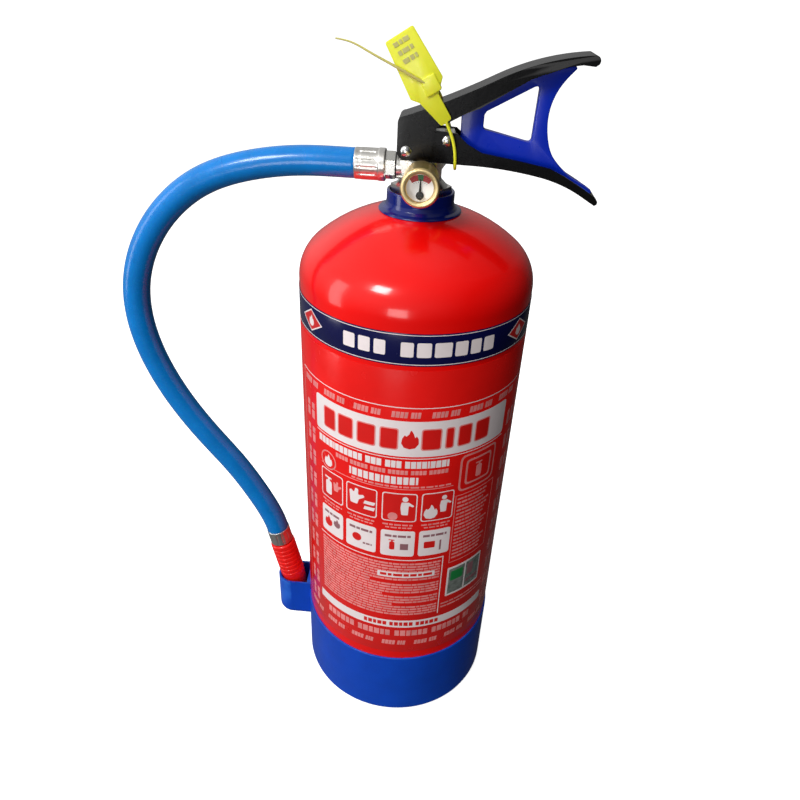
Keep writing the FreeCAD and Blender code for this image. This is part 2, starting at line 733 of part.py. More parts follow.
def rivet(name, x, z, cheek_half):
    """Rivet along Y with a domed head at each end."""
    head = dim.rivet_head
    dome = (head * head + HEAD_RISE * HEAD_RISE) / (2.0 * HEAD_RISE)
    under = cheek_half + HEAD_GAP
    body = turned_body(name, [
        (0.0, -under - HEAD_RISE), Arc(dome, 0.0, -under - HEAD_RISE + dome), (head, -under),
        (dim.rivet_radius, -under), (dim.rivet_radius, under), (head, under),
        Arc(dome, 0.0, under + HEAD_RISE - dome), (0.0, under + HEAD_RISE),
    ])
    return put(body, x=x, z=z, rotation=TO_FRONT)


# ---------------------------------------------------------------- safety wedge
# Plate between lever and handle, and the window through it: (x, z).
WEDGE_EDGE = [
    (22.6, 457.2), (34.0, 455.6), (52.0, 454.2), (72.0, 451.6), (88.0, 446.4), (100.0, 440.6),
    (106.6, 437.3), (107.6, 439.2), (105.1, 440.9), (93.4, 447.0), (86.3, 452.3), (78.9, 461.0),
    (75.5, 469.9), (74.1, 478.4), (75.2, 490.2), (79.0, 499.1), (86.6, 508.6), (85.6, 510.0),
    (70.0, 506.4), (56.0, 501.8), (40.0, 494.0), (30.0, 489.4), (23.6, 484.4), (22.0, 482.0),
]
WEDGE_WINDOW = [
    (36.6, 472.4), (35.8, 474.0), (35.8, 480.8), (37.0, 482.9), (63.6, 497.7), (65.4, 498.2),
    (66.6, 496.6), (65.9, 468.0), (65.0, 466.6), (63.0, 466.6),
]


def safety_wedge():
    wedge = new_body("safety_wedge")
    plate = outline_sketch(wedge, "wedge_outline", "XZ_Plane", WEDGE_EDGE)
    add_outline(plate, WEDGE_WINDOW)
    padded(wedge, "wedge_plate", plate, dim.wedge_thick, mid=True)
    return wedge


# ---------------------------------------------------------------- pressure gauge
# Local heights are distances in front of the cylinder axis, towards -Y.
def on_gauge_axis(obj):
    return put(obj, x=dim.gauge_x, z=dim.gauge_z, rotation=TO_FRONT)


def gauge_case():
    """Cup-shaped case with its threaded spigot."""
    outer, inner = dim.case_radius, dim.case_inner
    return on_gauge_axis(turned_body("gauge_case", [
        (1.2, 9.6), (4.8, 9.6), (4.8, 15.05), (6.3, 15.05), (6.3, 22.6), (9.2, 23.6),
        (outer - 0.6, 24.0), (outer, 24.6), (outer, 43.5), (inner, 43.5), (inner, 25.6),
        (1.2, 25.6),
    ]))


def gauge_bezel():
    fit = dim.case_radius + 0.05
    outer, window = dim.bezel_radius, dim.window_radius
    return on_gauge_axis(turned_body("gauge_bezel", [
        (fit, 40.2), (outer, 40.2), (outer, 45.2), (outer - 0.7, 46.0), (window + 1.7, 46.0),
        (window, 44.7), (window, 43.85), (fit, 43.85),
    ]))


def gauge_lens():
    radius = dim.dial_radius
    return on_gauge_axis(turned_body("gauge_lens", [
        (0.0, 42.6), (radius, 42.6), (radius, 43.7), (0.0, 43.7),
    ]))


def gauge_washer():
    return on_gauge_axis(turned_body("gauge_washer", [
        (4.88, 14.05), (6.2, 14.05), (6.2, 15.0), (4.88, 15.0),
    ]))


def gauge_dial():
    """Dial plate with a hole for the needle's spindle."""
    dial = new_body("gauge_dial")
    plate = circle_sketch(dial, "dial_outline", "XY_Plane", 0.0, 0.0, dim.dial_radius, 38.0)
    add_circle(plate, 0.0, -dim.needle_drop, 0.75)
    padded(dial, "dial_plate", plate, 0.6)
    return on_gauge_axis(dial)


def gauge_needle():
    """Needle pointing up, on a spindle below the dial's centre."""
    needle = new_body("gauge_needle")
    hub, reach = dim.needle_hub, dim.needle_reach
    turned(needle, "needle_spindle", [
        (0.0, 36.6), (0.7, 36.6), (0.7, 39.0), (hub, 39.0), (hub, 40.1), (hub - 0.5, 40.6),
        (0.0, 40.6),
    ])
    blade = outline_sketch(needle, "needle_blade", "XY_Plane",
                           [(-0.95, 0.5), (0.95, 0.5), (0.3, reach), (-0.3, reach)], 39.3)
    padded(needle, "needle_blade_pad", blade, 0.5)
    return put(needle, x=dim.gauge_x, z=dim.gauge_z - dim.needle_drop, rotation=TO_FRONT)


def bourdon_tube():
    """Open ring of fine tube on a post at the back of the case."""
    ring_radius = 7.0
    tube = primitive("Torus", "bourdon_ring", Radius1=ring_radius, Radius2=1.05, Angle3=285.0)
    put(tube, z=31.0, rotation=Rotation(Vector(0, 0, 1), -90))
    post = primitive("Cylinder", "bourdon_post", Radius=1.5, Height=5.4)
    put(post, y=-ring_radius, z=25.7)
    return on_gauge_axis(fuse_of("bourdon_tube", [tube, post]))


# ---------------------------------------------------------------- hose coupling at the valve
# Local heights are distances from the cylinder axis towards -X.
COUPLING_BORE = 3.5
COUPLING_HEX_ACROSS = 15.2
COUPLING_HEX_START = 17.0
COUPLING_HEX_END = 23.0
COUPLING_CUT_START = 50.0  # beyond the barbed end; the bore is cut back from here to the axis


def on_outlet_axis(body):
    return put(body, z=dim.outlet_z, rotation=TO_LEFT)


def hose_coupling():
    """Threaded end, hexagon and barbed tail."""
    start, end = COUPLING_HEX_START, COUPLING_HEX_END
    coupling = turned_body("hose_coupling", [
        (COUPLING_BORE, 9.6), (5.5, 9.6), (5.5, start), (7.4, start), (7.4, end), (6.0, end),
        (6.1, 26.0), (5.9, 26.4), (6.1, 31.0), (5.9, 31.4), (6.1, 36.0), (5.9, 36.4),
        (6.1, 41.0), (5.9, 41.4), (5.9, 46.0), (COUPLING_BORE, 46.0),
    ])
    hexagonal = outline_sketch(coupling, "coupling_hex", "XY_Plane",
                               hexagon(COUPLING_HEX_ACROSS), start)
    padded(coupling, "coupling_hex_pad", hexagonal, end - start)
    # The hexagon filled the bore, so it is opened again.
    bore = circle_sketch(coupling, "coupling_bore", "XY_Plane", 0.0, 0.0, COUPLING_BORE,
                         COUPLING_CUT_START)
    pocketed(coupling, "coupling_bore_cut", bore, COUPLING_CUT_START)
    return on_outlet_axis(coupling)


def coupling_gasket():
    return on_outlet_axis(turned_body("coupling_gasket", [
        (5.6, 16.05), (7.9, 16.05), (7.9, 16.95), (5.6, 16.95),
    ]))


def upper_ferrule():
    return on_outlet_axis(turned_body("upper_ferrule", [
        (6.4, 23.05), (9.6, 23.05), (10.15, 23.7), (10.15, 27.2), (9.85, 27.8), (9.85, 38.6),
        (9.7, 39.2), (9.7, 42.2), (9.5, 42.9), (dim.ferrule_inner, 42.9),
        (dim.ferrule_inner, 24.2), (6.4, 24.2),
    ]))


# ---------------------------------------------------------------- hose
# The centre line lies in the XZ plane, from the upper ferrule to the lower one.
HOSE_START = Vector(-43.1, 0, dim.outlet_z.value)
HOSE_END = Vector(-109.59, 0, 129.33)
START_DIRECTION = Vector(-1, 0, 0)
NOZZLE_DIRECTION = Vector(0.2118, 0, -0.9773)
ALONG_NOZZLE = Rotation(Vector(0, 0, 1), NOZZLE_DIRECTION)
TANGENT_STRENGTH = 34.0
# Points between the ends: (x, z).
HOSE_KNOTS = [
    (-77.3, 447.0), (-111.0, 442.0), (-142.8, 430.7), (-169.8, 410.1), (-189.6, 382.5),
    (-200.4, 350.4), (-200.5, 316.4), (-192.0, 283.5), (-177.8, 252.6), (-159.8, 223.7),
    (-140.4, 195.7), (-123.8, 166.0),
]
# Middles of the gaps between the six lengths, as fractions of the whole hose.
HINGE_FRACTIONS = (0.07, 0.30, 0.55, 0.75, 0.93)
# Crimped ends, by the number of the length: x, z, rotation of local +Z, crimp length.
CRIMPS = {
    1: (HOSE_START.x, dim.outlet_z, Rotation(Vector(0, 1, 0), 90), 18.8),
    6: (HOSE_END.x, HOSE_END.z, ALONG_NOZZLE, 13.6),
}


def crimped(tube, index):
    """Adds the narrower plug that sits inside the ferrule, and bores it."""
    x, z, rotation, length = CRIMPS[index]
    plug = primitive("Cylinder", "hose_crimp_%d" % index, Radius=dim.hose_crimped, Height=length)
    hole = primitive("Cylinder", "hose_crimp_bore_%d" % index, Radius=dim.hose_bore,
                     Height=length + 2.0)
    for solid in (plug, hole):
        put(solid, x=x, z=z, rotation=rotation)
    joined = fuse_of("hose_join_%d" % index, [tube, plug])
    return cut_of("hose_end_%d" % index, joined, hole)


def hose_length(line, index, start, end):
    """One length of hose, between two parameters of the centre line."""
    spine = wire_feature("hose_line_%d" % index, line.toShape(start, end))
    outer, inner = [
        swept("hose_%s_sweep_%d" % (side, index), "hose_%s_section_%d" % (side, index), spine,
              radius, line.value(start), line.tangent(start)[0], frenet=False)
        for side, radius in (("outer", dim.hose_radius), ("inner", dim.hose_bore))]
    tube = cut_of("hose_tube_%d" % index, outer, inner)
    if index in CRIMPS:
        tube = crimped(tube, index)
    tube.Label = "hose_length_%d" % index
    return tube


def hose_lengths():
    line = Part.BSplineCurve()
    line.interpolate(Points=[HOSE_START] + [Vector(x, 0, z) for x, z in HOSE_KNOTS] + [HOSE_END],
                     InitialTangent=START_DIRECTION * TANGENT_STRENGTH,
                     FinalTangent=NOZZLE_DIRECTION * TANGENT_STRENGTH)
    whole = line.length()
    half_gap = dim.hose_gap.value / 2.0
    hinges = [whole * fraction for fraction in HINGE_FRACTIONS]
    starts = [0.0] + [hinge + half_gap for hinge in hinges]
    ends = [hinge - half_gap for hinge in hinges] + [whole]
    lengths = []
    for index, distances in enumerate(zip(starts, ends), start=1):
        start, end = [line.parameterAtDistance(distance, line.FirstParameter)
                      for distance in distances]
        lengths.append(hose_length(line, index, start, end))
    return lengths


# ---------------------------------------------------------------- lower ferrule and nozzle
# Local heights run from the hose's end along the nozzle.
GROOVE_COUNT = 7
GROOVE_FIRST = 20.0
GROOVE_PITCH = 4.6
GROOVE_DEPTH = 0.45


def on_nozzle_axis(body):
    return put(body, x=HOSE_END.x, z=HOSE_END.z, rotation=ALONG_NOZZLE)


def lower_ferrule():
    return on_nozzle_axis(turned_body("lower_ferrule", [
        (dim.ferrule_inner, 0.1), (9.5, 0.1), (9.8, 0.6), (9.8, 13.8), (9.5, 14.4), (6.4, 14.4),
        (6.4, 13.7), (dim.ferrule_inner, 13.7),
    ]))


def nozzle_insert():
    return on_nozzle_axis(turned_body("nozzle_insert", [
        (4.0, 1.0), (5.9, 1.0), (6.1, 5.0), (5.9, 5.4), (6.1, 9.4), (5.9, 9.8), (6.0, 14.5),
        (7.6, 14.5), (7.6, 15.6), (6.0, 15.6), (6.0, 27.0), (4.0, 27.0),
    ]))


def discharge_nozzle():
    """Tapered nozzle with shallow grooves round its grip."""
    outer, tip = dim.nozzle_radius, dim.nozzle_tip
    floor = outer - GROOVE_DEPTH
    profile = [(outer - 1.0, 15.7), (outer, 16.6)]
    for i in range(GROOVE_COUNT):
        z = GROOVE_FIRST + GROOVE_PITCH * i
        profile += [(outer, z), (floor, z + 0.5), (floor, z + 1.1), (outer, z + 1.6)]
    profile += [(outer, 51.5), (tip + 0.5, 76.6), (tip, 77.6), (6.3, 77.6), (4.6, 66.0),
                (4.6, 28.0), (6.05, 27.2), (6.05, 15.7)]
    return on_nozzle_axis(turned_body("discharge_nozzle", profile))


# ---------------------------------------------------------------- tamper seal
SLAB_Y = -14.9  # middle plane of the tag and lock head, in front of the lever
# Plate outlines (x, z).
TAG_EDGE = [
    (-24.6, 517.7), (-9.4, 527.2), (9.2, 502.0), (7.4, 492.6), (16.2, 479.6), (10.4, 475.2),
    (-3.4, 487.2), (-8.6, 488.6),
]
LOCK_EDGE = [(-3.6, 499.6), (4.0, 504.0), (9.4, 495.6), (1.0, 490.4)]
# Centre lines (x, y, z): the loop round lever and handle, and the free tail.
STRAP_LINE = [
    (13.0, -14.9, 477.6), (17.6, -14.9, 468.0), (20.0, -14.6, 457.0), (20.4, -12.8, 451.2),
    (20.4, -7.0, 449.6), (20.3, 0.0, 449.3), (20.2, 7.0, 449.6), (20.0, 12.8, 451.2),
    (19.0, 15.0, 458.0), (14.0, 15.3, 474.0), (9.0, 14.8, 486.5), (7.2, 10.5, 490.2),
    (6.4, 3.0, 491.4), (5.8, -4.0, 491.8), (5.0, -10.5, 492.4), (3.6, -14.6, 495.4),
]
TAIL_LINE = [
    (0.6, -15.6, 497.6), (-3.8, -16.6, 499.5), (-12.0, -17.4, 503.4), (-20.3, -17.8, 507.2),
    (-34.2, -17.6, 513.4), (-43.3, -17.0, 517.2), (-52.4, -16.2, 518.7),
]


def slab(name, points, thick):
    """Flat plate standing parallel to the XZ plane."""
    edge = doc.addObject("Part::Polygon", name + "_edge")
    edge.Nodes = [Vector(x, SLAB_Y + thick / 2.0, z) for x, z in points]
    edge.Close = True
    plate = doc.addObject("Part::Extrusion", name)
    plate.Base = edge
    plate.DirMode = "Custom"
    plate.Dir = Vector(0, -1, 0)
    plate.LengthFwd = thick
    plate.Solid = True
    return plate


def strap(name, points, radius):
    """Round strap along a smooth line through the points."""
    curve = Part.BSplineCurve()
    curve.interpolate([Vector(*point) for point in points])
    start = curve.FirstParameter
    spine = wire_feature(name + "_line", curve.toShape())
    return swept(name, name + "_section", spine, radius, curve.value(start),
                 curve.tangent(start)[0], frenet=True)


def tamper_seal():
    """Pull-tight plastic seal."""
    return fuse_of("tamper_seal", [
        slab("seal_tag", TAG_EDGE, thick=1.6),
        slab("seal_lock", LOCK_EDGE, thick=4.0),
        strap("seal_strap", STRAP_LINE, radius=0.95),
        strap("seal_tail", TAIL_LINE, radius=0.8),
    ])


# ---------------------------------------------------------------- build, check and export
PIECES = [
    cylinder_shell(), powder_charge(), neck_ring(), neck_collar(), base_skirt(),
    wrap_label("title_band", dim.band_low, dim.band_top, dim.band_sweep),
    wrap_label("instruction_label", dim.panel_low, dim.panel_top, dim.panel_sweep),
    valve_body(),
    oring("neck_oring", ring_radius=16.33, cord_radius=1.22, height=429.7),
    oring("stem_oring", ring_radius=4.3, cord_radius=1.13, height=460.75),
    gland_nut(), siphon_adapter(), siphon_tube(),
    valve_stem(), stem_seal(), seal_nut(), stem_spring(),
    carry_handle(), squeeze_lever(),
    rivet("pivot_rivet", dim.pivot_x, dim.pivot_z, dim.lever_half),
    rivet("handle_rivet", dim.rivet_x, dim.rivet_z, dim.handle_half),
    safety_wedge(),
    gauge_case(), gauge_bezel(), gauge_lens(), gauge_washer(), gauge_dial(), gauge_needle(),
    bourdon_tube(),
    hose_coupling(), coupling_gasket(), upper_ferrule(), *hose_lengths(),
    lower_ferrule(), nozzle_insert(), discharge_nozzle(), tamper_seal(),
]

doc.recompute()
for obj in doc.Objects:
    if "Invalid" in obj.State or "Error" in obj.State:
        raise RuntimeError("failed object: %s %s" % (obj.Name, obj.State))
if len({obj.Label for obj in PIECES}) != len(PIECES):
    raise RuntimeError("two pieces share a label")
for obj in PIECES:
    if obj.Shape.isNull() or not obj.Shape.isValid() or not obj.Shape.Solids:
        raise RuntimeError("bad shape: " + obj.Label)
os.makedirs("parts", exist_ok=True)
for obj in PIECES:
    obj.Shape.exportStep(os.path.join("parts", obj.Label + ".step"))
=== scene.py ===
# A fire extinguisher with levers, safety wedge, gauge, hose, nozzle and tamper seal.
# It stands upright with its axis on Z. The label and the gauge face -Y, the levers reach out
# to +X and the hose leaves the valve towards -X. Shapes are in millimetres; lights, the
# camera and material textures are in metres.
import itertools
import json
import math

import bmesh
import bpy
import numpy as np
from mathutils import Matrix, Vector

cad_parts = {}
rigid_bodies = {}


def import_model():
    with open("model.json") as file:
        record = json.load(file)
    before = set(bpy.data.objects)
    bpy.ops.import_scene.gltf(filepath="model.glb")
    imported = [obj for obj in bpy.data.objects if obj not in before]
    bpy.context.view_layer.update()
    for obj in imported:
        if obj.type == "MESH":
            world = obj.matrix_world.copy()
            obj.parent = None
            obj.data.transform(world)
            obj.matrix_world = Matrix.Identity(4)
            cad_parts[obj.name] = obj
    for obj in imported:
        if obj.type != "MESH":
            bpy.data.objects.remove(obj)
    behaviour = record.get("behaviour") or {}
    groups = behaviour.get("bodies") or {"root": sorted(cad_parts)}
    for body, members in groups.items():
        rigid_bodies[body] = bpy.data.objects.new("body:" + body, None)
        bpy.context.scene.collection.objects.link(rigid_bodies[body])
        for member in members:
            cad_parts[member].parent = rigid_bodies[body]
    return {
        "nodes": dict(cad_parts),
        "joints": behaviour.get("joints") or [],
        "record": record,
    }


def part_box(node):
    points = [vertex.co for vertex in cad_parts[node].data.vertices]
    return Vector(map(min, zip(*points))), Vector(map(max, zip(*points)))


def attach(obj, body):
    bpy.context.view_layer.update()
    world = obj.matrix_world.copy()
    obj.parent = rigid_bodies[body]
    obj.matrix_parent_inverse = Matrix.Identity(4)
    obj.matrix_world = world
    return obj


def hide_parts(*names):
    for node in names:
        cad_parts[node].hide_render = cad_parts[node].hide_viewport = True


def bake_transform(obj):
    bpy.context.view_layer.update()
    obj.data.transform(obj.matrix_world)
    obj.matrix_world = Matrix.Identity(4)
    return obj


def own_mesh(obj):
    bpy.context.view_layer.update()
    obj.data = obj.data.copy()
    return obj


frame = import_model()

for o in list(bpy.data.objects):
    if o.name in ("Cube", "Light", "Camera"):
        bpy.data.objects.remove(o)
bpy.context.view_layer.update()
MM = 0.001
BODY = "extinguisher"


# ------------------------------------------------------------------ materials
def node(tree, kind, inputs, **settings):
    """Adds a shader node. Each input takes a value or the socket that feeds it."""
    made = tree.nodes.new("ShaderNode" + kind)
    for key, value in settings.items():
        setattr(made, key, value)
    for key, value in inputs.items():
        if isinstance(value, bpy.types.NodeSocket):
            tree.links.new(value, made.inputs[key])
        else:
            made.inputs[key].default_value = value
    return made


def noise(tree, place, scale, detail):
    made = node(tree, "TexNoise", {"Vector": place, "Scale": scale, "Detail": detail})
    return made.outputs["Fac"]


def mix_color(tree, factor, color, other):
    """Blends color towards the plain RGB other."""
    inputs = {0: factor, 6: color, 7: tuple(other) + (1,)}
    return node(tree, "Mix", inputs, data_type="RGBA").outputs[2]


def add_wear(tree, color, patches, wear, wear_at):
    """Turns convex edges to the wear colour, unevenly."""
    pointiness = node(tree, "NewGeometry", {}).outputs["Pointiness"]
    uneven = node(tree, "Math", {0: patches, 1: 0.12, 2: pointiness}, operation="MULTIPLY_ADD")
    edge = node(tree, "MapRange", {"From Min": wear_at + 0.06, "From Max": wear_at + 0.12,
                                   "Value": uneven.outputs[0]})
    return mix_color(tree, edge.outputs[0], color, wear)


def add_dirt(tree, color, place, amount, base):
    """Scatters small spots of a darker base colour."""
    spots = noise(tree, place, scale=260.0, detail=8.0)
    cover = node(tree, "MapRange", {"From Min": 0.62, "From Max": 0.75, "To Max": amount,
                                    "Value": spots})
    return mix_color(tree, cover.outputs[0], color, [c * 0.45 for c in base])


def material(name, color, rough=0.35, metal=0.0, coat=0.0, spec=0.5, mottle=0.06,
             mottle_scale=40.0, rough_spread=0.08, bump=0.1, bump_scale=900.0, stretch=None,
             wear=None, wear_at=0.56, dirt=0.0, scatter=0.0, alpha=1.0, glow=0.0,
             glow_color=(1, 1, 1, 1)):
    """A principled material with mottled colour, uneven roughness and a fine bump.

    mottle is the share by which the colour varies. stretch scales the bump and roughness
    textures per axis. wear is the colour of worn edges, from the pointiness wear_at up.
    dirt is the strength of dark spots, scatter the subsurface weight, glow the emission.
    """
    made = bpy.data.materials.new(name)
    made.use_nodes = True
    tree = made.node_tree
    tree.nodes.clear()
    place = node(tree, "TexCoord", {}).outputs["Object"]
    fine_place = place
    if stretch:
        fine_place = node(tree, "Mapping", {"Scale": stretch, "Vector": place}).outputs[0]
    patches = noise(tree, place, mottle_scale, detail=4.0)
    grain = noise(tree, fine_place, bump_scale, detail=3.0)

    ramp = node(tree, "ValToRGB", {"Fac": patches})
    dark, light = ramp.color_ramp.elements
    dark.position, light.position = 0.3, 0.7
    dark.color = tuple(max(0.0, c * (1 - mottle)) for c in color) + (1,)
    light.color = tuple(min(1.0, c * (1 + mottle)) for c in color) + (1,)
    base = ramp.outputs["Color"]
    if wear:
        base = add_wear(tree, base, patches, wear, wear_at)
    if dirt:
        base = add_dirt(tree, base, place, dirt, color)

    smears = noise(tree, fine_place, mottle_scale * 3, detail=6.0)
    roughness = node(tree, "MapRange", {"To Min": max(0.02, rough - rough_spread),
                                        "To Max": min(1.0, rough + rough_spread),
                                        "Value": smears})
    relief = node(tree, "Bump", {"Strength": bump, "Distance": 0.0002, "Height": grain})
    inputs = {
        "Base Color": base, "Roughness": roughness.outputs[0], "Normal": relief.outputs[0],
        "Metallic": metal, "Coat Weight": coat, "Coat Roughness": 0.05,
        "Specular IOR Level": spec, "Alpha": alpha}
    if scatter:
        inputs["Subsurface Weight"] = scatter
        inputs["Subsurface Radius"] = (0.004, 0.003, 0.0006)
        inputs["Subsurface Scale"] = 1.0
    if glow:
        inputs["Emission Color"] = glow_color
        inputs["Emission Strength"] = glow
    shader = node(tree, "BsdfPrincipled", inputs)
    node(tree, "OutputMaterial", {0: shader.outputs[0]})
    return made


MATERIALS = {
    "red_paint": dict(color=(0.86, 0.003, 0.002), rough=0.2, coat=0.35, spec=0.3, mottle=0.05,
                      mottle_scale=14, bump=0.09, bump_scale=420, rough_spread=0.05),
    "powder": dict(color=(0.86, 0.83, 0.62), rough=0.9, bump=0.8, bump_scale=1800),
    "collar_blue": dict(color=(0.002, 0.009, 0.15), rough=0.16, coat=0.35, spec=0.4, bump=0.15,
                        bump_scale=700, scatter=0.03, wear=(0.02, 0.05, 0.34)),
    "skirt_blue": dict(color=(0.001, 0.060, 0.50), rough=0.34, coat=0.05, spec=0.3, mottle=0.09,
                       bump=0.25, bump_scale=650, scatter=0.04, wear=(0.03, 0.19, 0.75),
                       dirt=0.25),
    "band_film": dict(color=(0.003, 0.004, 0.055), rough=0.24, coat=0.15, spec=0.3, bump=0.08,
                      bump_scale=500),
    "label_film": dict(color=(0.80, 0.008, 0.006), rough=0.25, coat=0.2, spec=0.3, bump=0.07,
                       bump_scale=450, mottle=0.07, mottle_scale=30),
    "nickel_plate": dict(color=(0.76, 0.75, 0.71), rough=0.27, metal=1.0, mottle=0.08, bump=0.2,
                         bump_scale=900, dirt=0.35),
    "black_rubber": dict(color=(0.02, 0.02, 0.021), rough=0.75, bump=0.4, bump_scale=1400),
    "brass": dict(color=(0.88, 0.68, 0.34), rough=0.38, metal=1.0, mottle=0.1, bump=0.2,
                  bump_scale=1100, dirt=0.3),
    "siphon_plastic": dict(color=(0.8, 0.8, 0.77), rough=0.5, bump=0.2),
    "steel_bright": dict(color=(0.74, 0.74, 0.73), rough=0.26, metal=1.0, mottle=0.06,
                         bump=0.25, bump_scale=1000, dirt=0.3),
    "black_coat": dict(color=(0.0022, 0.0022, 0.0026), rough=0.27, coat=0.08, spec=0.2,
                       mottle=0.2, bump=0.16, bump_scale=520, rough_spread=0.07,
                       wear=(0.05, 0.05, 0.05), wear_at=0.6),
    "wedge_blue": dict(color=(0.001, 0.022, 0.46), rough=0.3, coat=0.1, spec=0.3, mottle=0.08,
                       bump=0.2, bump_scale=800, scatter=0.04, wear=(0.03, 0.09, 0.65)),
    "clear_lens": dict(color=(0.8, 0.8, 0.8), rough=0.05, mottle=0.0, rough_spread=0.02,
                       bump=0.01, spec=0.15, alpha=0.02),
    # The dial's glow is painted light: its emission brightens the recessed dial beyond the light
    # that reaches it.
    "dial_white": dict(color=(0.93, 0.92, 0.90), rough=0.5, mottle=0.03, bump=0.05, glow=0.22,
                       glow_color=(1, 0.97, 0.95, 1)),
    "needle_black": dict(color=(0.003, 0.003, 0.003), rough=0.5, bump=0.1),
    "ferrule_plate": dict(color=(0.80, 0.78, 0.74), rough=0.34, metal=1.0, mottle=0.12,
                          mottle_scale=90, bump=0.35, bump_scale=700, stretch=(1, 1, 0.2),
                          dirt=0.45),
    "hose_blue": dict(color=(0.0005, 0.20, 0.62), rough=0.26, coat=0.2, spec=0.35, mottle=0.08,
                      mottle_scale=60, bump=0.3, bump_scale=520, scatter=0.05, dirt=0.2),
    "nozzle_red": dict(color=(0.84, 0.010, 0.008), rough=0.33, coat=0.1, spec=0.3, mottle=0.06,
                       bump=0.25, bump_scale=700, scatter=0.05),
    "seal_yellow": dict(color=(0.86, 0.86, 0.03), rough=0.34, coat=0.1, mottle=0.05, bump=0.15,
                        bump_scale=600, scatter=0.35),
    "strap_yellow": dict(color=(0.62, 0.56, 0.16), rough=0.4, mottle=0.15, mottle_scale=60,
                         bump=0.2, bump_scale=600, scatter=0.25),
    "print_white": dict(color=(0.90, 0.80, 0.80), rough=0.34, coat=0.15, mottle=0.05, bump=0.06,
                        dirt=0.1),
    "print_pink": dict(color=(0.84, 0.27, 0.26), rough=0.36, coat=0.15, mottle=0.16,
                       mottle_scale=120, bump=0.06),
    "print_red": dict(color=(0.72, 0.008, 0.006), rough=0.33, coat=0.15, mottle=0.07,
                      bump=0.06),
    "print_grey": dict(color=(0.30, 0.13, 0.15), rough=0.4, coat=0.3, mottle=0.15, bump=0.06),
    "print_silver": dict(color=(0.55, 0.62, 0.56), rough=0.2, metal=0.7, mottle=0.35,
                         mottle_scale=260, bump=0.1),
    "print_green": dict(color=(0.01, 0.22, 0.05), rough=0.42, mottle=0.08, bump=0.05),
    "dial_red": dict(color=(0.60, 0.012, 0.012), rough=0.42, mottle=0.08, bump=0.05),
}
MATS = {name: material(name, **look) for name, look in MATERIALS.items()}


# ------------------------------------------------------------------ mesh helpers
def link(mesh, name, body, replaces, angle=32.0):
    mesh.shade_smooth()
    mesh.set_sharp_from_angle(angle=math.radians(angle))
    obj = bpy.data.objects.new(name, mesh)
    bpy.context.scene.collection.objects.link(obj)
    if body:
        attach(obj, body)
    if replaces:
        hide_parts(*replaces)
    return obj


def add(name, verts, faces, mats, body, replaces=(), face_mats=None, angle=32.0,
        weld=True):
    """Makes an object from millimetre points; weld merges doubles and turns faces outwards."""
    mesh = bpy.data.meshes.new(name)
    mesh.from_pydata([tuple(c * MM for c in v) for v in verts], [], [tuple(f) for f in faces])
    for mat in mats:
        mesh.materials.append(MATS[mat])
    if face_mats is not None:
        mesh.polygons.foreach_set("material_index", face_mats)
    if weld:
        bm = bmesh.new()
        bm.from_mesh(mesh)
        bmesh.ops.remove_doubles(bm, verts=bm.verts, dist=1e-7)
        bmesh.ops.recalc_face_normals(bm, faces=bm.faces)
        bm.to_mesh(mesh)
        bm.free()
    return link(mesh, name, body, replaces, angle)


def soft(points, radius, steps=4, closed=True):
    """Rounds the corners of a polyline by up to radius."""
    points = [np.array(p, float) for p in points]
    out, count = [], len(points)
    for i, corner in enumerate(points):
        if not closed and i in (0, count - 1):
            out.append(tuple(corner))
            continue
        before, after = points[i - 1] - corner, points[(i + 1) % count] - corner
        len_before, len_after = np.linalg.norm(before), np.linalg.norm(after)
        cosine = float(np.clip(before @ after / (len_before * len_after), -1, 1))
        turn = math.pi - math.acos(cosine)
        if turn < 0.2:
            out.append(tuple(corner))
            continue
        cut = min(radius * math.tan(turn / 2), len_before * 0.45, len_after * 0.45)
        start = corner + before / len_before * cut
        end = corner + after / len_after * cut
        for j in range(steps + 1):
            t = j / steps
            out.append(tuple((1 - t) ** 2 * start + 2 * t * (1 - t) * corner + t * t * end))
    return out


def axes_of(axis):
    """Two directions square to the axis, and the axis itself."""
    along = Vector(axis).normalized()
    side = Vector((0, 1, 0)) if abs(along.y) < 0.9 else Vector((1, 0, 0))
    side = (side - along * side.dot(along)).normalized()
    return np.array(side), np.array(along.cross(side)), np.array(along)


def lathe(name, profile, mat, body, replaced, sides=96, origin=(0, 0, 0), axis=(0, 0, 1),
          closed=True, shape=None, angle=32.0):
    """Turns (radius, height) points about an axis.

    shape(radius, height, turn) may change the radius with the angle around the axis.
    """
    side, across, along = axes_of(axis)
    origin = np.array(origin, float)
    verts, faces, rows = [], [], []
    for radius, height in profile:
        if radius < 1e-6:
            rows.append([len(verts)] * sides)
            verts.append(origin + along * height)
            continue
        row = []
        for i in range(sides):
            turn = 2 * math.pi * i / sides
            reach = shape(radius, height, turn) if shape else radius
            row.append(len(verts))
            verts.append(origin + along * height
                         + (side * math.cos(turn) + across * math.sin(turn)) * reach)
        rows.append(row)
    count = len(rows)
    for j in range(count if closed else count - 1):
        low, high = rows[j], rows[(j + 1) % count]
        for i in range(sides):
            k = (i + 1) % sides
            face = [low[i], low[k], high[k], high[i]]
            face = [v for q, v in enumerate(face) if v not in face[:q]]
            if len(face) > 2:
                faces.append(face)
    return add(name, verts, faces, [mat], body, [replaced], angle=angle)


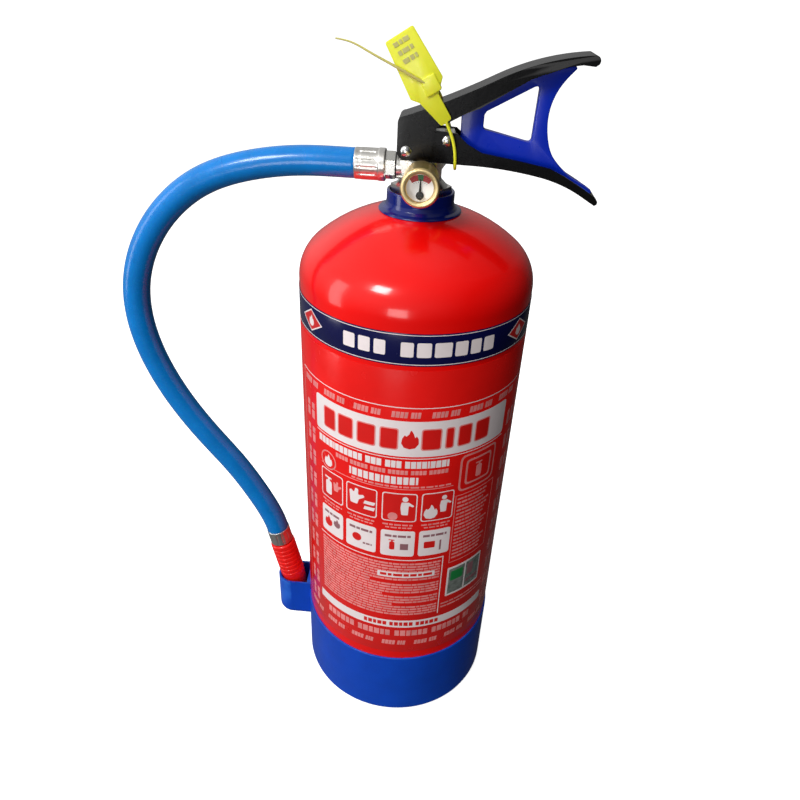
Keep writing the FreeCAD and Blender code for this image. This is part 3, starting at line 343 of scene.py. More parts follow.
def sampled(outline):
    """Outline points, with arcs ("arc", radius, x and z near the centre) sampled finely."""
    out = []
    for i, entry in enumerate(outline):
        if entry[0] != "arc":
            out.append(np.array(entry, float))
            continue
        start = np.array(outline[i - 1], float)
        end = np.array(outline[(i + 1) % len(outline)], float)
        middle = (start + end) / 2
        half = np.linalg.norm(end - start) / 2
        radius = max(entry[1], half * 1.0001)
        side = np.array([-(end - start)[1], (end - start)[0]]) / (2 * half)
        offset = side * math.sqrt(max(radius * radius - half * half, 0.0))
        centre = min((middle + offset, middle - offset),
                     key=lambda q: np.linalg.norm(q - np.array(entry[2:4])))
        first = math.atan2(*(start - centre)[::-1])
        last = math.atan2(*(end - centre)[::-1])
        sweep = (last - first + math.pi) % (2 * math.pi) - math.pi
        steps = max(2, int(max(abs(sweep) / 0.2, abs(sweep) * radius / 4.0)))
        for j in range(1, steps):
            turn = first + sweep * j / steps
            out.append(centre + radius * np.array([math.cos(turn), math.sin(turn)]))
    return out


def slab(points, half, y=0.0):
    """Bmesh plate standing in the XZ plane, half thick to each side of y."""
    bm = bmesh.new()
    front = [bm.verts.new((p[0], y - half, p[1])) for p in points]
    back = [bm.verts.new((p[0], y + half, p[1])) for p in points]
    bm.faces.new(front)
    bm.faces.new(back[::-1])
    for i in range(len(points)):
        k = (i + 1) % len(points)
        bm.faces.new((front[i], back[i], back[k], front[k]))
    bmesh.ops.recalc_face_normals(bm, faces=bm.faces)
    return bm


def to_object(bm, name):
    mesh = bpy.data.meshes.new(name)
    for v in bm.verts:
        v.co = v.co * MM
    bm.to_mesh(mesh)
    bm.free()
    obj = bpy.data.objects.new(name, mesh)
    bpy.context.scene.collection.objects.link(obj)
    return obj


def cut_and_bevel(base, cutters, mat, bevel, segments, limit):
    """Applies booleans and a bevel to base, and returns the mesh with its material."""
    for cutter in cutters:
        cut = base.modifiers.new("cut", "BOOLEAN")
        cut.operation, cut.solver, cut.object = "DIFFERENCE", "EXACT", cutter
    edge = base.modifiers.new("edge", "BEVEL")
    edge.width, edge.segments = bevel * MM, segments
    edge.limit_method, edge.angle_limit = "ANGLE", math.radians(limit)
    depsgraph = bpy.context.evaluated_depsgraph_get()
    mesh = bpy.data.meshes.new_from_object(base.evaluated_get(depsgraph))
    for obj in (base, *cutters):
        bpy.data.objects.remove(obj)
    mesh.materials.append(MATS[mat])
    return mesh


def plate(name, points, half, y, mat, body, bevel, segments, replaces=(), window=None,
          limit=40.0, angle=32.0):
    """A bevelled flat plate. window is an outline cut right through it."""
    base = to_object(slab(points, half, y), name + "_blank")
    cutters = [to_object(slab(window, half + 2.5), name + "_window")] if window else []
    mesh = cut_and_bevel(base, cutters, mat, bevel, segments, limit)
    return link(mesh, name, body, replaces, angle)


def tube(name, points, radius, mat, body, sides=20, replaces=()):
    """Closed tube along points; radius is one number or one per point."""
    points = np.array(points, float)
    count = len(points)
    heading = np.gradient(points, axis=0)
    heading /= np.linalg.norm(heading, axis=1)[:, None]
    ref = np.array([0.0, 1.0, 0.0]) if abs(heading[0][1]) < 0.9 else np.array([1.0, 0.0, 0.0])
    radii = np.full(count, radius, float) if np.isscalar(radius) else np.array(radius, float)
    verts, faces = [], []
    for i in range(count):
        ref = ref - heading[i] * (ref @ heading[i])
        ref /= np.linalg.norm(ref)
        side = np.cross(heading[i], ref)
        for k in range(sides):
            turn = 2 * math.pi * k / sides
            verts.append(points[i] + (ref * math.cos(turn) + side * math.sin(turn)) * radii[i])
    for i in range(count - 1):
        row, above = i * sides, (i + 1) * sides
        for k in range(sides):
            m = (k + 1) % sides
            faces.append((row + k, row + m, above + m, above + k))
    for i, flip in ((0, True), (count - 1, False)):
        centre = len(verts)
        verts.append(points[i])
        for k in range(sides):
            face = (i * sides + k, i * sides + (k + 1) % sides, centre)
            faces.append(face[::-1] if flip else face)
    return add(name, verts, faces, [mat], body, replaces, angle=50)


def spline(points, start=None, end=None, count=400):
    """Cubic spline by chord length; start and end are the end slopes, free if None."""
    p = np.array(points, float)
    stops = np.concatenate([[0], np.cumsum(np.linalg.norm(np.diff(p, axis=0), axis=1))])
    n, gap = len(p), np.diff(stops)
    system, rhs = np.zeros((n, n)), np.zeros(p.shape)
    if start is None:
        system[0, 0], system[0, 1], rhs[0] = 2, 1, 3 * (p[1] - p[0]) / gap[0]
    else:
        system[0, 0], rhs[0] = 1, start
    if end is None:
        system[-1, -1], system[-1, -2], rhs[-1] = 2, 1, 3 * (p[-1] - p[-2]) / gap[-1]
    else:
        system[-1, -1], rhs[-1] = 1, end
    for i in range(1, n - 1):
        system[i, i - 1:i + 2] = gap[i], 2 * (gap[i - 1] + gap[i]), gap[i - 1]
        rhs[i] = 3 * (gap[i] * (p[i] - p[i - 1]) / gap[i - 1]
                      + gap[i - 1] * (p[i + 1] - p[i]) / gap[i])
    slope = np.linalg.solve(system, rhs)
    place = np.linspace(0, stops[-1], count)
    k = np.clip(np.searchsorted(stops, place, side="right") - 1, 0, n - 2)
    t = ((place - stops[k]) / gap[k])[:, None]
    width = gap[k][:, None]
    return ((2 * t**3 - 3 * t**2 + 1) * p[k] + (t**3 - 2 * t**2 + t) * width * slope[k]
            + (-2 * t**3 + 3 * t**2) * p[k + 1] + (t**3 - t**2) * width * slope[k + 1])


# ------------------------------------------------------------------ cylinder
CYL_R = 80.0
WALL = 2.0
SHOULDER_Z = 375.2    # where the straight wall meets the knuckle
KNUCKLE_R = 30.5      # small arc between the wall and the crown
CROWN_R = 107.1       # large arc over the top
KNUCKLE_X = CYL_R - KNUCKLE_R
CROWN_Z = SHOULDER_Z - math.sqrt((CROWN_R - KNUCKLE_R) ** 2 - KNUCKLE_X * KNUCKLE_X)
SHELL_BORE = 19.05
HEEL_R, HEEL_Z = 30.0, 52.0    # arc at the foot of the wall, and its centre height


def dome(inset=0.0):
    """Crown and knuckle outline from the neck hole outwards, moved inwards by inset."""
    join = math.atan2(KNUCKLE_X, SHOULDER_Z - CROWN_Z)
    crown, knuckle = CROWN_R - inset, KNUCKLE_R - inset
    points = []
    for i in range(13):
        a = join * i / 12
        points.append((crown * math.sin(a), CROWN_Z + crown * math.cos(a)))
    for i in range(1, 15):
        a = join + (math.pi / 2 - join) * i / 14
        points.append((KNUCKLE_X + knuckle * math.sin(a), SHOULDER_Z + knuckle * math.cos(a)))
    return [(r, z) for r, z in points if r > 19.2]


def cylinder_profile():
    top = dome()
    rim_z = top[0][1] + 0.7
    base_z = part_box("cylinder_shell")[0].z / MM
    heel_drop = min(HEEL_R, HEEL_Z - base_z - 3)
    heel = []
    for i in range(1, 13):
        a = math.pi / 2 * i / 12
        heel.append((CYL_R - HEEL_R + HEEL_R * math.cos(a), HEEL_Z - heel_drop * math.sin(a)))
    outside = [(SHELL_BORE, rim_z - 3), (SHELL_BORE, rim_z)] + top
    outside += [(CYL_R, z) for z in (360, 330, 300, 260, 220, 180, 140, 100, 70, HEEL_Z)] + heel
    base = [(30, base_z + 0.8), (0.0, base_z), (0.0, base_z + 2.0), (30, base_z + 3.0)]
    inside = [(r - WALL, z + WALL) for r, z in reversed(heel)]
    inside += [(CYL_R - WALL, 300), (CYL_R - WALL, SHOULDER_Z)] + dome(WALL)[::-1]
    return outside + base + inside


def collar_profile():
    """Collar whose underside follows the crown."""
    bore, skirt_r, lift = 19.1, 27.2, CROWN_R + 0.15

    def on_crown(r):
        return r, CROWN_Z + math.sqrt(lift * lift - r * r)

    return [on_crown(bore), on_crown(skirt_r), (skirt_r, 421.2), (26.4, 421.8), (24.3, 422.5),
            (22.7, 424.2), (22.0, 426.5), (22.0, 432.9), (21.4, 433.5), (20.0, 433.5),
            (20.0, 425.9), (bore, 424.9)]


# (radius, z)
NECK_RING = [(15.05, 415.5), (19.0, 415.5), (19.0, 431.0), (17.6, 431.0), (17.6, 428.4),
             (15.05, 428.4)]

lathe("cylinder_body", cylinder_profile(), "red_paint", BODY, "cylinder_shell", sides=192,
      angle=60)
lathe("neck_ring_body", soft(NECK_RING, 0.4), "red_paint", BODY, "neck_ring")
lathe("collar_body", soft(collar_profile(), 0.7), "collar_blue", BODY, "neck_collar", sides=128)

# ------------------------------------------------------------------ films and their print
FILM_IN_R, FILM_OUT_R = CYL_R + 0.06, CYL_R + 0.30
LAYER = 0.035       # thickness of one layer of print
LAYER_GAP = 0.01
CUT_STEP = 2.5      # print is cut this often so that it follows the wall
WHITE, PINK, RED, GREY = "print_white", "print_pink", "print_red", "print_grey"
FILM = "label_film"

# Outlines of the printed signs, (x, z) about the sign's centre at size 1
FLAME = [(0, -5), (2.6, -4.3), (4.1, -2.0), (4.0, 0.6), (3.0, 2.6), (2.4, 1.2), (1.6, 3.6),
         (0.2, 6.0), (-0.4, 3.4), (-1.8, 1.8), (-2.4, 3.0), (-3.6, 0.8), (-4.0, -1.8),
         (-2.7, -4.2)]
TORSO = [(-2.8, -1), (-2.2, 3.2), (2.2, 3.2), (5.6, 0.6), (5.0, -0.6), (2.2, 0.8), (2.0, -7),
         (-2.0, -7)]
HAND = [(-4, -6), (1, -6), (2, -2), (6, 1), (5, 2.6), (1.4, 1.2), (1.6, 6), (-0.6, 6.4),
        (-1.4, 2.4), (-3.4, 4.4), (-4.8, 3.4)]


def film(name, low, top, sweep, mat, replaced):
    """Thin sheet round the front of the wall, over sweep degrees."""
    half, steps = math.radians(sweep / 2), 110
    section = soft([(FILM_IN_R, low), (FILM_OUT_R, low), (FILM_OUT_R, top), (FILM_IN_R, top)],
                   0.05, 2)
    verts, faces, count = [], [], len(section)
    for i in range(steps + 1):
        turn = -half + 2 * half * i / steps
        for r, z in section:
            verts.append((r * math.sin(turn), -r * math.cos(turn), z))
    for i in range(steps):
        row, following = i * count, (i + 1) * count
        for j in range(count):
            m = (j + 1) % count
            faces.append((row + j, row + m, following + m, following + j))
    faces.append(tuple(range(count)))
    faces.append(tuple(range(steps * count, steps * count + count))[::-1])
    add(name, verts, faces, [mat], BODY, [replaced])


class Print:
    """Thin patches on the wall, gathered into one mesh.

    x runs round the wall from the front (-Y) towards +X, z is the height. Higher layers
    lie further out.
    """

    def __init__(self):
        self.verts, self.faces, self.face_mats, self.mats = [], [], [], []

    def slot(self, mat):
        if mat not in self.mats:
            self.mats.append(mat)
        return self.mats.index(mat)

    def vert(self, x, z, radius):
        turn = x / FILM_OUT_R
        self.verts.append((radius * math.sin(turn), -radius * math.cos(turn), z))

    def radii(self, layer):
        return FILM_OUT_R + LAYER * (layer - 1) + LAYER_GAP, FILM_OUT_R + LAYER * layer

    def rect(self, x0, x1, z0, z1, mat, layer=1, slant=0.0):
        """slant shifts the top edge along x."""
        first = math.ceil((x0 + 0.3) / CUT_STEP)
        last = math.floor((x1 - 0.3) / CUT_STEP)
        cuts = [x0] + [q * CUT_STEP for q in range(first, last + 1)] + [x1]
        inner, outer = self.radii(layer)
        base = len(self.verts)
        for x in cuts:
            for z, shift in ((z0, 0.0), (z1, slant)):
                self.vert(x + shift, z, inner)
                self.vert(x + shift, z, outer)
        faces = []
        for i in range(len(cuts) - 1):
            a = base + 4 * i
            b = a + 4
            faces += [(a + 1, b + 1, b + 3, a + 3), (a, a + 2, b + 2, b), (a, b, b + 1, a + 1),
                      (a + 2, a + 3, b + 3, b + 2)]
        end = base + 4 * (len(cuts) - 1)
        faces += [(base, base + 1, base + 3, base + 2), (end, end + 2, end + 3, end + 1)]
        self.faces += faces
        self.face_mats += [self.slot(mat)] * len(faces)

    def poly(self, points, mat, layer=1):
        bm = bmesh.new()
        bm.faces.new([bm.verts.new((x, z, 0)) for x, z in points])
        left, right = min(p[0] for p in points), max(p[0] for p in points)
        for q in range(math.ceil(left / CUT_STEP), math.floor(right / CUT_STEP) + 1):
            if left + 0.05 < q * CUT_STEP < right - 0.05:
                bmesh.ops.bisect_plane(bm, geom=bm.verts[:] + bm.edges[:] + bm.faces[:],
                                       plane_co=(q * CUT_STEP, 0, 0), plane_no=(1, 0, 0),
                                       dist=1e-5)
        bmesh.ops.triangulate(bm, faces=bm.faces[:])
        bm.normal_update()
        bm.verts.ensure_lookup_table()
        inner, outer = self.radii(layer)
        base, count, slot = len(self.verts), len(bm.verts), self.slot(mat)
        for radius in (outer, inner):
            for v in bm.verts:
                self.vert(v.co.x, v.co.y, radius)
        for face in bm.faces:
            ids = [v.index for v in face.verts]
            if face.normal.z < 0:
                ids = ids[::-1]
            self.faces.append([base + i for i in ids])
            self.faces.append([base + count + i for i in ids[::-1]])
            self.face_mats += [slot, slot]
        for edge in bm.edges:
            if len(edge.link_faces) == 1:
                i, k = (base + v.index for v in edge.verts)
                self.faces.append((i, k, count + k, count + i))
                self.face_mats.append(slot)
        bm.free()

    def rounded(self, x0, x1, z0, z1, radius, mat, layer=1):
        self.poly(soft([(x0, z0), (x1, z0), (x1, z1), (x0, z1)], radius), mat, layer)

    def disc(self, x, z, radius, mat, layer=1, sides=24):
        turns = [2 * math.pi * i / sides for i in range(sides)]
        self.poly([(x + radius * math.cos(a), z + radius * math.sin(a)) for a in turns],
                  mat, layer)

    def frame(self, x0, x1, z0, z1, width, mat, layer=1):
        self.rect(x0, x1, z0, z0 + width, mat, layer)
        self.rect(x0, x1, z1 - width, z1, mat, layer)
        self.rect(x0, x0 + width, z0 + width, z1 - width, mat, layer)
        self.rect(x1 - width, x1, z0 + width, z1 - width, mat, layer)

    def blocks(self, x0, x1, z0, z1, widths, gap, mat, layer=1, slant=0.0):
        """Row of plain blocks that stands for lettering; a negative width is a space."""
        x = x0
        for width in itertools.cycle(widths):
            if x >= x1 - 0.4:
                break
            if width < 0:
                x -= width
            else:
                self.rect(x, min(x + width, x1), z0, z1, mat, layer, slant)
                x += width + gap

    def sign(self, outline, x, z, size, corner, mat, layer):
        points = [(x + dx * size, z + dz * size) for dx, dz in outline]
        self.poly(soft(points, corner * size, 3), mat, layer)

    def flame(self, x, z, size, mat, layer):
        self.sign(FLAME, x, z, size, 0.6, mat, layer)

    def hand(self, x, z, size, mat, layer):
        self.sign(HAND, x, z, size, 0.9, mat, layer)

    def person(self, x, z, size, mat, layer):
        self.disc(x, z + 5.6 * size, 1.9 * size, mat, layer, 18)
        self.sign(TORSO, x, z, size, 0.7, mat, layer)

    def bottle(self, x, z, size, mat, layer):
        self.rounded(x - 2.6 * size, x + 2.6 * size, z - 7 * size, z + 3.5 * size, 1.6 * size,
                     mat, layer)
        self.rect(x - 0.8 * size, x + 0.8 * size, z + 3.5 * size, z + 5.0 * size, mat, layer)
        self.rect(x - 3.4 * size, x + 2.4 * size, z + 5.0 * size, z + 6.2 * size, mat, layer)

    def build(self, name):
        add(name, self.verts, self.faces, self.mats, BODY, (), self.face_mats, angle=30)


film("band_sheet", 347.4, 369.5, 220.0, "band_film", "title_band")
film("label_sheet", 77.0, 344.0, 176.0, FILM, "instruction_label")

# Band letters, (left edge, width)
BAND_LETTERS = ((-43, 8.5), (-32, 8.0), (-21.5, 7.5), (-4.5, 8.0), (5.5, 9.0), (16.5, 11.0),
                (29.5, 8.5), (40, 7.5), (49.5, 8.0))


def print_band():
    band = Print()
    for x, width in BAND_LETTERS:
        band.rounded(x, x + width, 353.6, 363.6, 1.2, WHITE)
    mid_z = 358.5
    for x in (-75.0, 84.0):
        for half_x, half_z, mat, layer in ((13, 7.9, WHITE, 1), (11.4, 6.9, "dial_red", 2)):
            band.poly([(x - half_x, mid_z), (x, mid_z + half_z), (x + half_x, mid_z),
                       (x, mid_z - half_z)], mat, layer)
        band.flame(x, 358.2, 0.75, WHITE, 3)
    for z in (348.2, 368.2):
        band.rect(-150, 150, z, z + 0.5, WHITE)
    band.build("band_print")


def print_borders(label):
    label.rect(-92, 102, 316.4, 317.0, WHITE)
    for x in (-92, 101.4):
        label.rect(x, x + 0.6, 84.5, 316.4, PINK)
    lettering = (2.2, 2.6, 2.2, 2.2, -1.6, 2.0, 1.4, 2.4, 2.4)
    for z0, z1 in ((309.0, 313.6), (86.2, 91.0)):
        for column in range(7):
            x = -88.0 + 26.5 * column
            label.blocks(x, x + 19, z0, z1, lettering, 0.45, PINK, slant=0.5)
    # each side: left edges of its two columns, then the marks' heights within a row
    for columns, marks in (((-86.0, -78.5), ((0.0, 7.0), (8.2, 13.0))),
                           ((88.0, 95.0), ((0.0, 12.0),))):
        for x in columns:
            for row in range(10):
                z = 96.0 + 20.5 * row
                for low, high in marks:
                    label.rect(x, x + 4.0, z + low, z + high, PINK)


def print_title(label):
    label.rounded(-71.0, 82.0, 278.0, 306.4, 3.0, WHITE)
    label.rect(-71.0, 82.0, 276.0, 276.6, WHITE)
    for x0, x1 in ((-62, -50), (-48, -35), (-32.5, -18.5), (-16, -3),
                   (12, 26), (28.5, 35), (37.5, 48.5), (51, 64)):
        label.rounded(x0, x1, 283.2, 300.6, 2.2, PINK, 2)
        label.rounded(x0 + 0.9, x1 - 0.9, 284.1, 299.7, 1.6, RED, 3)
    label.flame(4.6, 291.6, 1.45, RED, 2)


def print_subtitles(label):
    """Subtitle lines, and the round emblem to the left of the lower ones."""
    label.blocks(-68, 33, 268.2, 274.0,
                 (3.4, 3.4, 3.0, 3.4, 1.4, 3.4, 3.4, 3.2, 3.4, 3.4, 3.0, -2.0, 3.6, 3.4, 3.4,
                  -2.2, 3.6, 3.0, 3.4, -2.0), 0.55, WHITE)
    label.blocks(-50, 33, 262.6, 266.2,
                 (2.4, 2.4, 2.0, 2.4, -1.4, 2.4, 2.2, 2.4, 2.4, 2.2, -1.6), 0.5, PINK)
    label.blocks(-38, 13, 254.0, 260.4, (1.6, 3.6, 3.4, 3.4, 3.4, 3.4), 0.9, WHITE)
    label.rect(-66, 38, 249.4, 250.0, PINK)
    label.blocks(-36, 36, 251.0, 252.4, (3.0, 5.0, 2.0, 4.0, 6.0), 1.0, PINK)
    label.disc(-58, 255, 8.0, PINK, 1, 36)
    label.disc(-58, 255, 6.9, FILM, 2, 36)
    label.flame(-58, 254.6, 1.0, WHITE, 3)


# Left and right edges of the pictogram columns
PICTURE_COLUMNS = ((-66, -43.5), (-40.5, -16.0), (-12.5, 12.5), (15.5, 39.5))


def print_upper_pictures(label):
    for i, (x0, x1) in enumerate(PICTURE_COLUMNS):
        label.rounded(x0, x1, 220.0, 246.0, 2.4, WHITE)
        label.rounded(x0 + 0.8, x1 - 0.8, 220.8, 245.2, 1.9, RED, 2)
        x = (x0 + x1) / 2
        if i == 0:
            label.bottle(x - 3, 232.5, 1.2, WHITE, 3)
            label.hand(x + 5.5, 235, 0.75, PINK, 3)
        elif i == 1:
            label.hand(x - 4, 235.5, 1.15, WHITE, 3)
            label.rect(x + 2, x + 10, 226, 229, WHITE, 3, 1.0)
            label.rect(x + 2, x + 10, 231, 234, WHITE, 3, 1.0)
        elif i == 2:
            label.person(x + 4, 234.5, 1.15, WHITE, 3)
            label.disc(x - 4.5, 224.6, 3.6, PINK, 3)
        else:
            label.person(x + 4.5, 234.8, 1.05, WHITE, 3)
            label.flame(x - 5, 228.5, 1.25, WHITE, 3)
        label.blocks(x0 + 1, x1 - 1, 216.0, 217.4, (4.0, 2.6, 5.0), 0.9, PINK)
        label.blocks(x0 + 3, x1 - 3, 213.4, 214.6, (3.0, 4.6, 2.0), 0.9, PINK)


def print_lower_pictures(label):
    for i, (x0, x1) in enumerate(PICTURE_COLUMNS):
        label.rounded(x0, x1, 186.0, 211.0, 2.4, WHITE)
        x = (x0 + x1) / 2
        if i == 0:
            label.flame(x - 4, 197, 1.0, RED, 2)
            label.flame(x + 5, 199, 0.8, GREY, 2)
        elif i == 1:
            label.disc(x - 3, 197, 3.8, RED, 2)
            label.blocks(x + 2, x1 - 3, 192, 193.6, (2, 3), 0.6, GREY, 2)
        elif i == 2:
            label.bottle(x - 4, 197.5, 0.75, RED, 2)
            label.rect(x + 2, x + 8, 192.5, 198.5, GREY, 2)
        else:
            label.rounded(x - 8, x + 0.5, 193.5, 200.0, 1.0, RED, 2)
            label.rect(x + 4, x + 5.4, 190, 200, GREY, 2)
        label.blocks(x0 + 3.0, x1 - 3.0, 204.6, 206.8, (5.0, 3.0, 6.0), 0.8, GREY, 2)


def print_fine_text(label):
    widths = (5.5, 3.2, 7.4, 2.6, 4.8, 6.4, 3.8, 9.0)
    short_lines = (7, 12, 16)
    for i in range(21):
        z = 178.6 - 2.75 * i
        right = -34.0 + i * 2.0 if i in short_lines else 34.0
        q = (i * 5) % 8
        line = (widths[q] * 0.6 + 0.7 * (i % 3),) + widths[q + 1:] + widths[:q]
        label.blocks(-66, right, z - 1.75, z, line, 0.55, PINK)
    label.rect(-68.2, 36.2, 181.4, 182.2, WHITE)
    label.rect(35.4, 36.2, 119.0, 181.4, WHITE)
    label.rounded(-14, 30, 163.5, 169.0, 1.0, WHITE, 2)
    label.blocks(-12, 28, 165.0, 167.6, (5, 3, 7, 4), 1.0, RED, 3)


def print_right_column(label):
    # nested rounded frames round a bottle: x0, x1, z0, z1, corner, material
    rings = ((42, 76, 242, 274, 5.0, PINK), (43.6, 74.4, 243.6, 272.4, 4.0, FILM),
             (47, 71, 247, 269, 3.4, PINK), (48.6, 69.4, 248.6, 267.4, 2.6, FILM))
    for layer, ring in enumerate(rings, 1):
        label.rounded(*ring, layer)
    label.bottle(59, 258, 1.0, PINK, 5)
    # the height of each text line picks its block widths and its right end
    z = 236.0
    while z > 176:
        k = int(z * 3) % 5
        widths = ((4, 6, 3, 5, 2.4) * 2)[k:k + 5]
        label.blocks(43, 76 - (int(z * 7) % 9), z - 1.7, z, widths, 0.7, PINK)
        z -= 3.6
    label.frame(41, 79, 172.6, 239, 0.6, PINK)
    label.rounded(41, 76, 136, 167, 1.0, WHITE)
    label.rect(42.6, 57.6, 138, 165, "print_silver", 2)
    label.rect(59.0, 74.6, 138, 165, "print_silver", 2)
    label.rounded(44.4, 56.0, 152, 162, 1.5, "print_green", 3)
    label.rounded(60.6, 67, 150, 162, 1.0, GREY, 3)
    label.blocks(60.5, 74, 142, 146, (3, 2, 4), 0.6, GREY, 3)
    label.blocks(38, 84, 128, 129.6, (7, 4, 9), 0.8, PINK)
    label.blocks(38, 84, 124.4, 126.0, (5, 8, 4), 0.8, PINK)


def print_foot(label):
    """White stripe with small blocks, and the row below it."""
    label.rect(-70, 84, 107.0, 115.2, WHITE)
    label.blocks(-24, 38, 109.0, 113.2, (2.8, 3.2, 2.6, 3.4, 3.0, -1.6), 0.9, RED, 2)
    label.blocks(-60, 70, 97.0, 103.4, (3.6, 4.2, 3.4, 4.4, 3.0, 3.8, -3.0), 0.9, PINK)


print_band()
label_print = Print()
for draw in (print_borders, print_title, print_subtitles, print_upper_pictures,
             print_lower_pictures, print_fine_text, print_right_column, print_foot):
    draw(label_print)
label_print.build("label_print")

# ------------------------------------------------------------------ levers
SHEET = 1.6    # wall of the levers' side cheeks

# Side outlines, (x, z) or ("arc", radius, x and z near its centre). Each hollow is cut out
# of its side outline and leaves a channel: two cheeks joined by a web.
HANDLE_SIDE = [
    (-13.6, 453.2), (15.0, 452.6), (26.0, 452.3), ("arc", 250.0, 20.0, 202.0), (70.7, 448.1),
    ("arc", 90.0, 46.0, 361.5), (102.3, 436.3), (109.2, 432.4), (110.6, 433.2), (110.9, 435.0),
    (109.2, 437.4), (100.0, 442.8), (88.0, 449.2), (78.5, 453.4), (59.7, 456.7), (36.0, 460.2),
    (27.0, 464.8), (20.0, 470.6), (8.0, 471.4), (-9.0, 464.6), (-13.6, 461.5)]
HANDLE_HOLLOW = [
    (-20.0, 440.0), (18.4, 440.0), (18.4, 454.2), (26.3, 453.9), ("arc", 251.6, 20.0, 202.0),
    (71.3, 449.7), ("arc", 91.6, 46.0, 361.5), (103.2, 437.8), (107.6, 435.4), (130.0, 450.0),
    (130.0, 490.0), (-20.0, 490.0)]
LEVER_SIDE = [
    (-15.9, 457.2), (-15.9, 475.6), ("arc", 3.6, -12.3, 475.4), (-12.6, 479.0),
    ("arc", 455.0, -165.0, 906.0), (40.0, 501.2), ("arc", 150.0, 94.0, 366.0), (94.6, 516.8),
    ("arc", 3.0, 94.2, 513.9), (96.8, 512.2), (95.0, 510.9), (88.0, 511.4), (80.5, 510.2),
    (60.7, 503.0), (43.1, 492.4), (32.2, 485.6), (24.3, 482.3), (14.4, 476.8), (9.0, 474.6),
    (7.0, 472.5), (5.2, 457.4), (4.4, 456.6), (-3.2, 456.6), (-6.6, 453.6), (-12.4, 453.6)]
LEVER_HOLLOW = [
    (-14.3, 440.0), (-14.3, 475.6), ("arc", 2.0, -12.3, 475.4), (-12.0, 477.45),
    ("arc", 456.6, -165.0, 906.0), (40.6, 499.7), ("arc", 148.4, 94.0, 366.0), (93.4, 515.1),
    (130.0, 515.3), (130.0, 440.0)]


def round_web(bm, web, radius, segments):
    """Rounds the long edges of a slab that lie on the web, a run of outline entries."""
    line = sampled(web)

    def on_web(co):
        point = np.array([co.x, co.z])
        for start, end in zip(line, line[1:]):
            run = end - start
            t = np.clip((point - start) @ run / (run @ run), 0, 1)
            if np.linalg.norm(point - start - run * t) < 0.02:
                return True
        return False

    edges = [e for e in bm.edges
             if abs(e.verts[0].co.y - e.verts[1].co.y) < 1e-6 and all(on_web(v.co) for v in e.verts)]
    if edges:
        bmesh.ops.bevel(bm, geom=edges, offset=radius, segments=segments, profile=0.5,
                        affect="EDGES", clamp_overlap=True)


def channel(name, side, hollow, side_web, hollow_web, half, radius, body, replaced):
    """Folded sheet lever; the webs are the runs of entries rounded outside and inside."""
    outer = slab(sampled(side), half)
    round_web(outer, side[side_web], radius, segments=5)
    inner = slab(sampled(hollow), half - SHEET)
    round_web(inner, hollow[hollow_web], 0.45, segments=3)
    mesh = cut_and_bevel(to_object(outer, name + "_outer"), [to_object(inner, name + "_inner")],
                         "black_coat", bevel=0.35, segments=2, limit=38)
    obj = link(mesh, name, body, [replaced], angle=40)
    obj.modifiers.new("normals", "WEIGHTED_NORMAL").keep_sharp = True


LEVER_HALF, HANDLE_HALF = 12.5, 10.6
channel("lever_body", LEVER_SIDE, LEVER_HOLLOW, slice(0, 9), slice(0, 8), LEVER_HALF, 2.6,
        "lever", "squeeze_lever")
channel("handle_body", HANDLE_SIDE, HANDLE_HOLLOW, slice(1, 9), slice(2, 8), HANDLE_HALF, 2.4,
        BODY, "carry_handle")

# ------------------------------------------------------------------ safety wedge
# (x, z)
WEDGE_SIDE = [
    (22.6, 457.2), (34.0, 455.6), (52.0, 454.2), (72.0, 451.6), (88.0, 446.4), (100.0, 440.6),
    (106.6, 437.3), (107.6, 439.2), (105.1, 440.9), (93.4, 447.0), (86.3, 452.3), (78.9, 461.0),
    (75.5, 469.9), (74.1, 478.4), (75.2, 490.2), (79.0, 499.1), (86.6, 508.6), (85.6, 510.0),
    (70.0, 506.4), (56.0, 501.8), (40.0, 494.0), (30.0, 489.4), (23.6, 484.4), (22.0, 482.0)]
WEDGE_WINDOW = [
    (36.6, 472.4), (35.8, 474.0), (35.8, 480.8), (37.0, 482.9), (63.6, 497.7), (65.4, 498.2),
    (66.6, 496.6), (65.9, 468.0), (65.0, 466.6), (63.0, 466.6)]


def smooth_loop(points, keep_angle=35.0, step=1.5):
    """Curves a polygon through its gentle corners and keeps those over keep_angle degrees."""
    points = [np.array(q, float) for q in points]
    count = len(points)
    sharp = []
    for i in range(count):
        before, after = points[i] - points[i - 1], points[(i + 1) % count] - points[i]
        cosine = before @ after / np.linalg.norm(before) / np.linalg.norm(after)
        if math.degrees(math.acos(np.clip(cosine, -1, 1))) > keep_angle:
            sharp.append(i)
    out = []
    for j, i in enumerate(sharp):
        k = sharp[(j + 1) % len(sharp)]
        run = [points[(i + q) % count] for q in range(((k - i) % count or count) + 1)]
        if len(run) > 2:
            length = sum(np.linalg.norm(b - a) for a, b in zip(run, run[1:]))
            out += list(spline(run, count=max(4, int(length / step))))[:-1]
        else:
            out.append(run[0])
    return out


plate("wedge_plate", soft(smooth_loop(WEDGE_SIDE), 0.8, 3), 3.5, 0.0, "wedge_blue", "wedge",
      bevel=0.7, segments=3, replaces=["safety_wedge"], window=soft(WEDGE_WINDOW, 1.6, 4),
      limit=48, angle=40)

# ------------------------------------------------------------------ rivets
RIVET_HEAD_R, RIVET_HEAD_H, RIVET_SHANK_R = 3.25, 1.5, 2.4


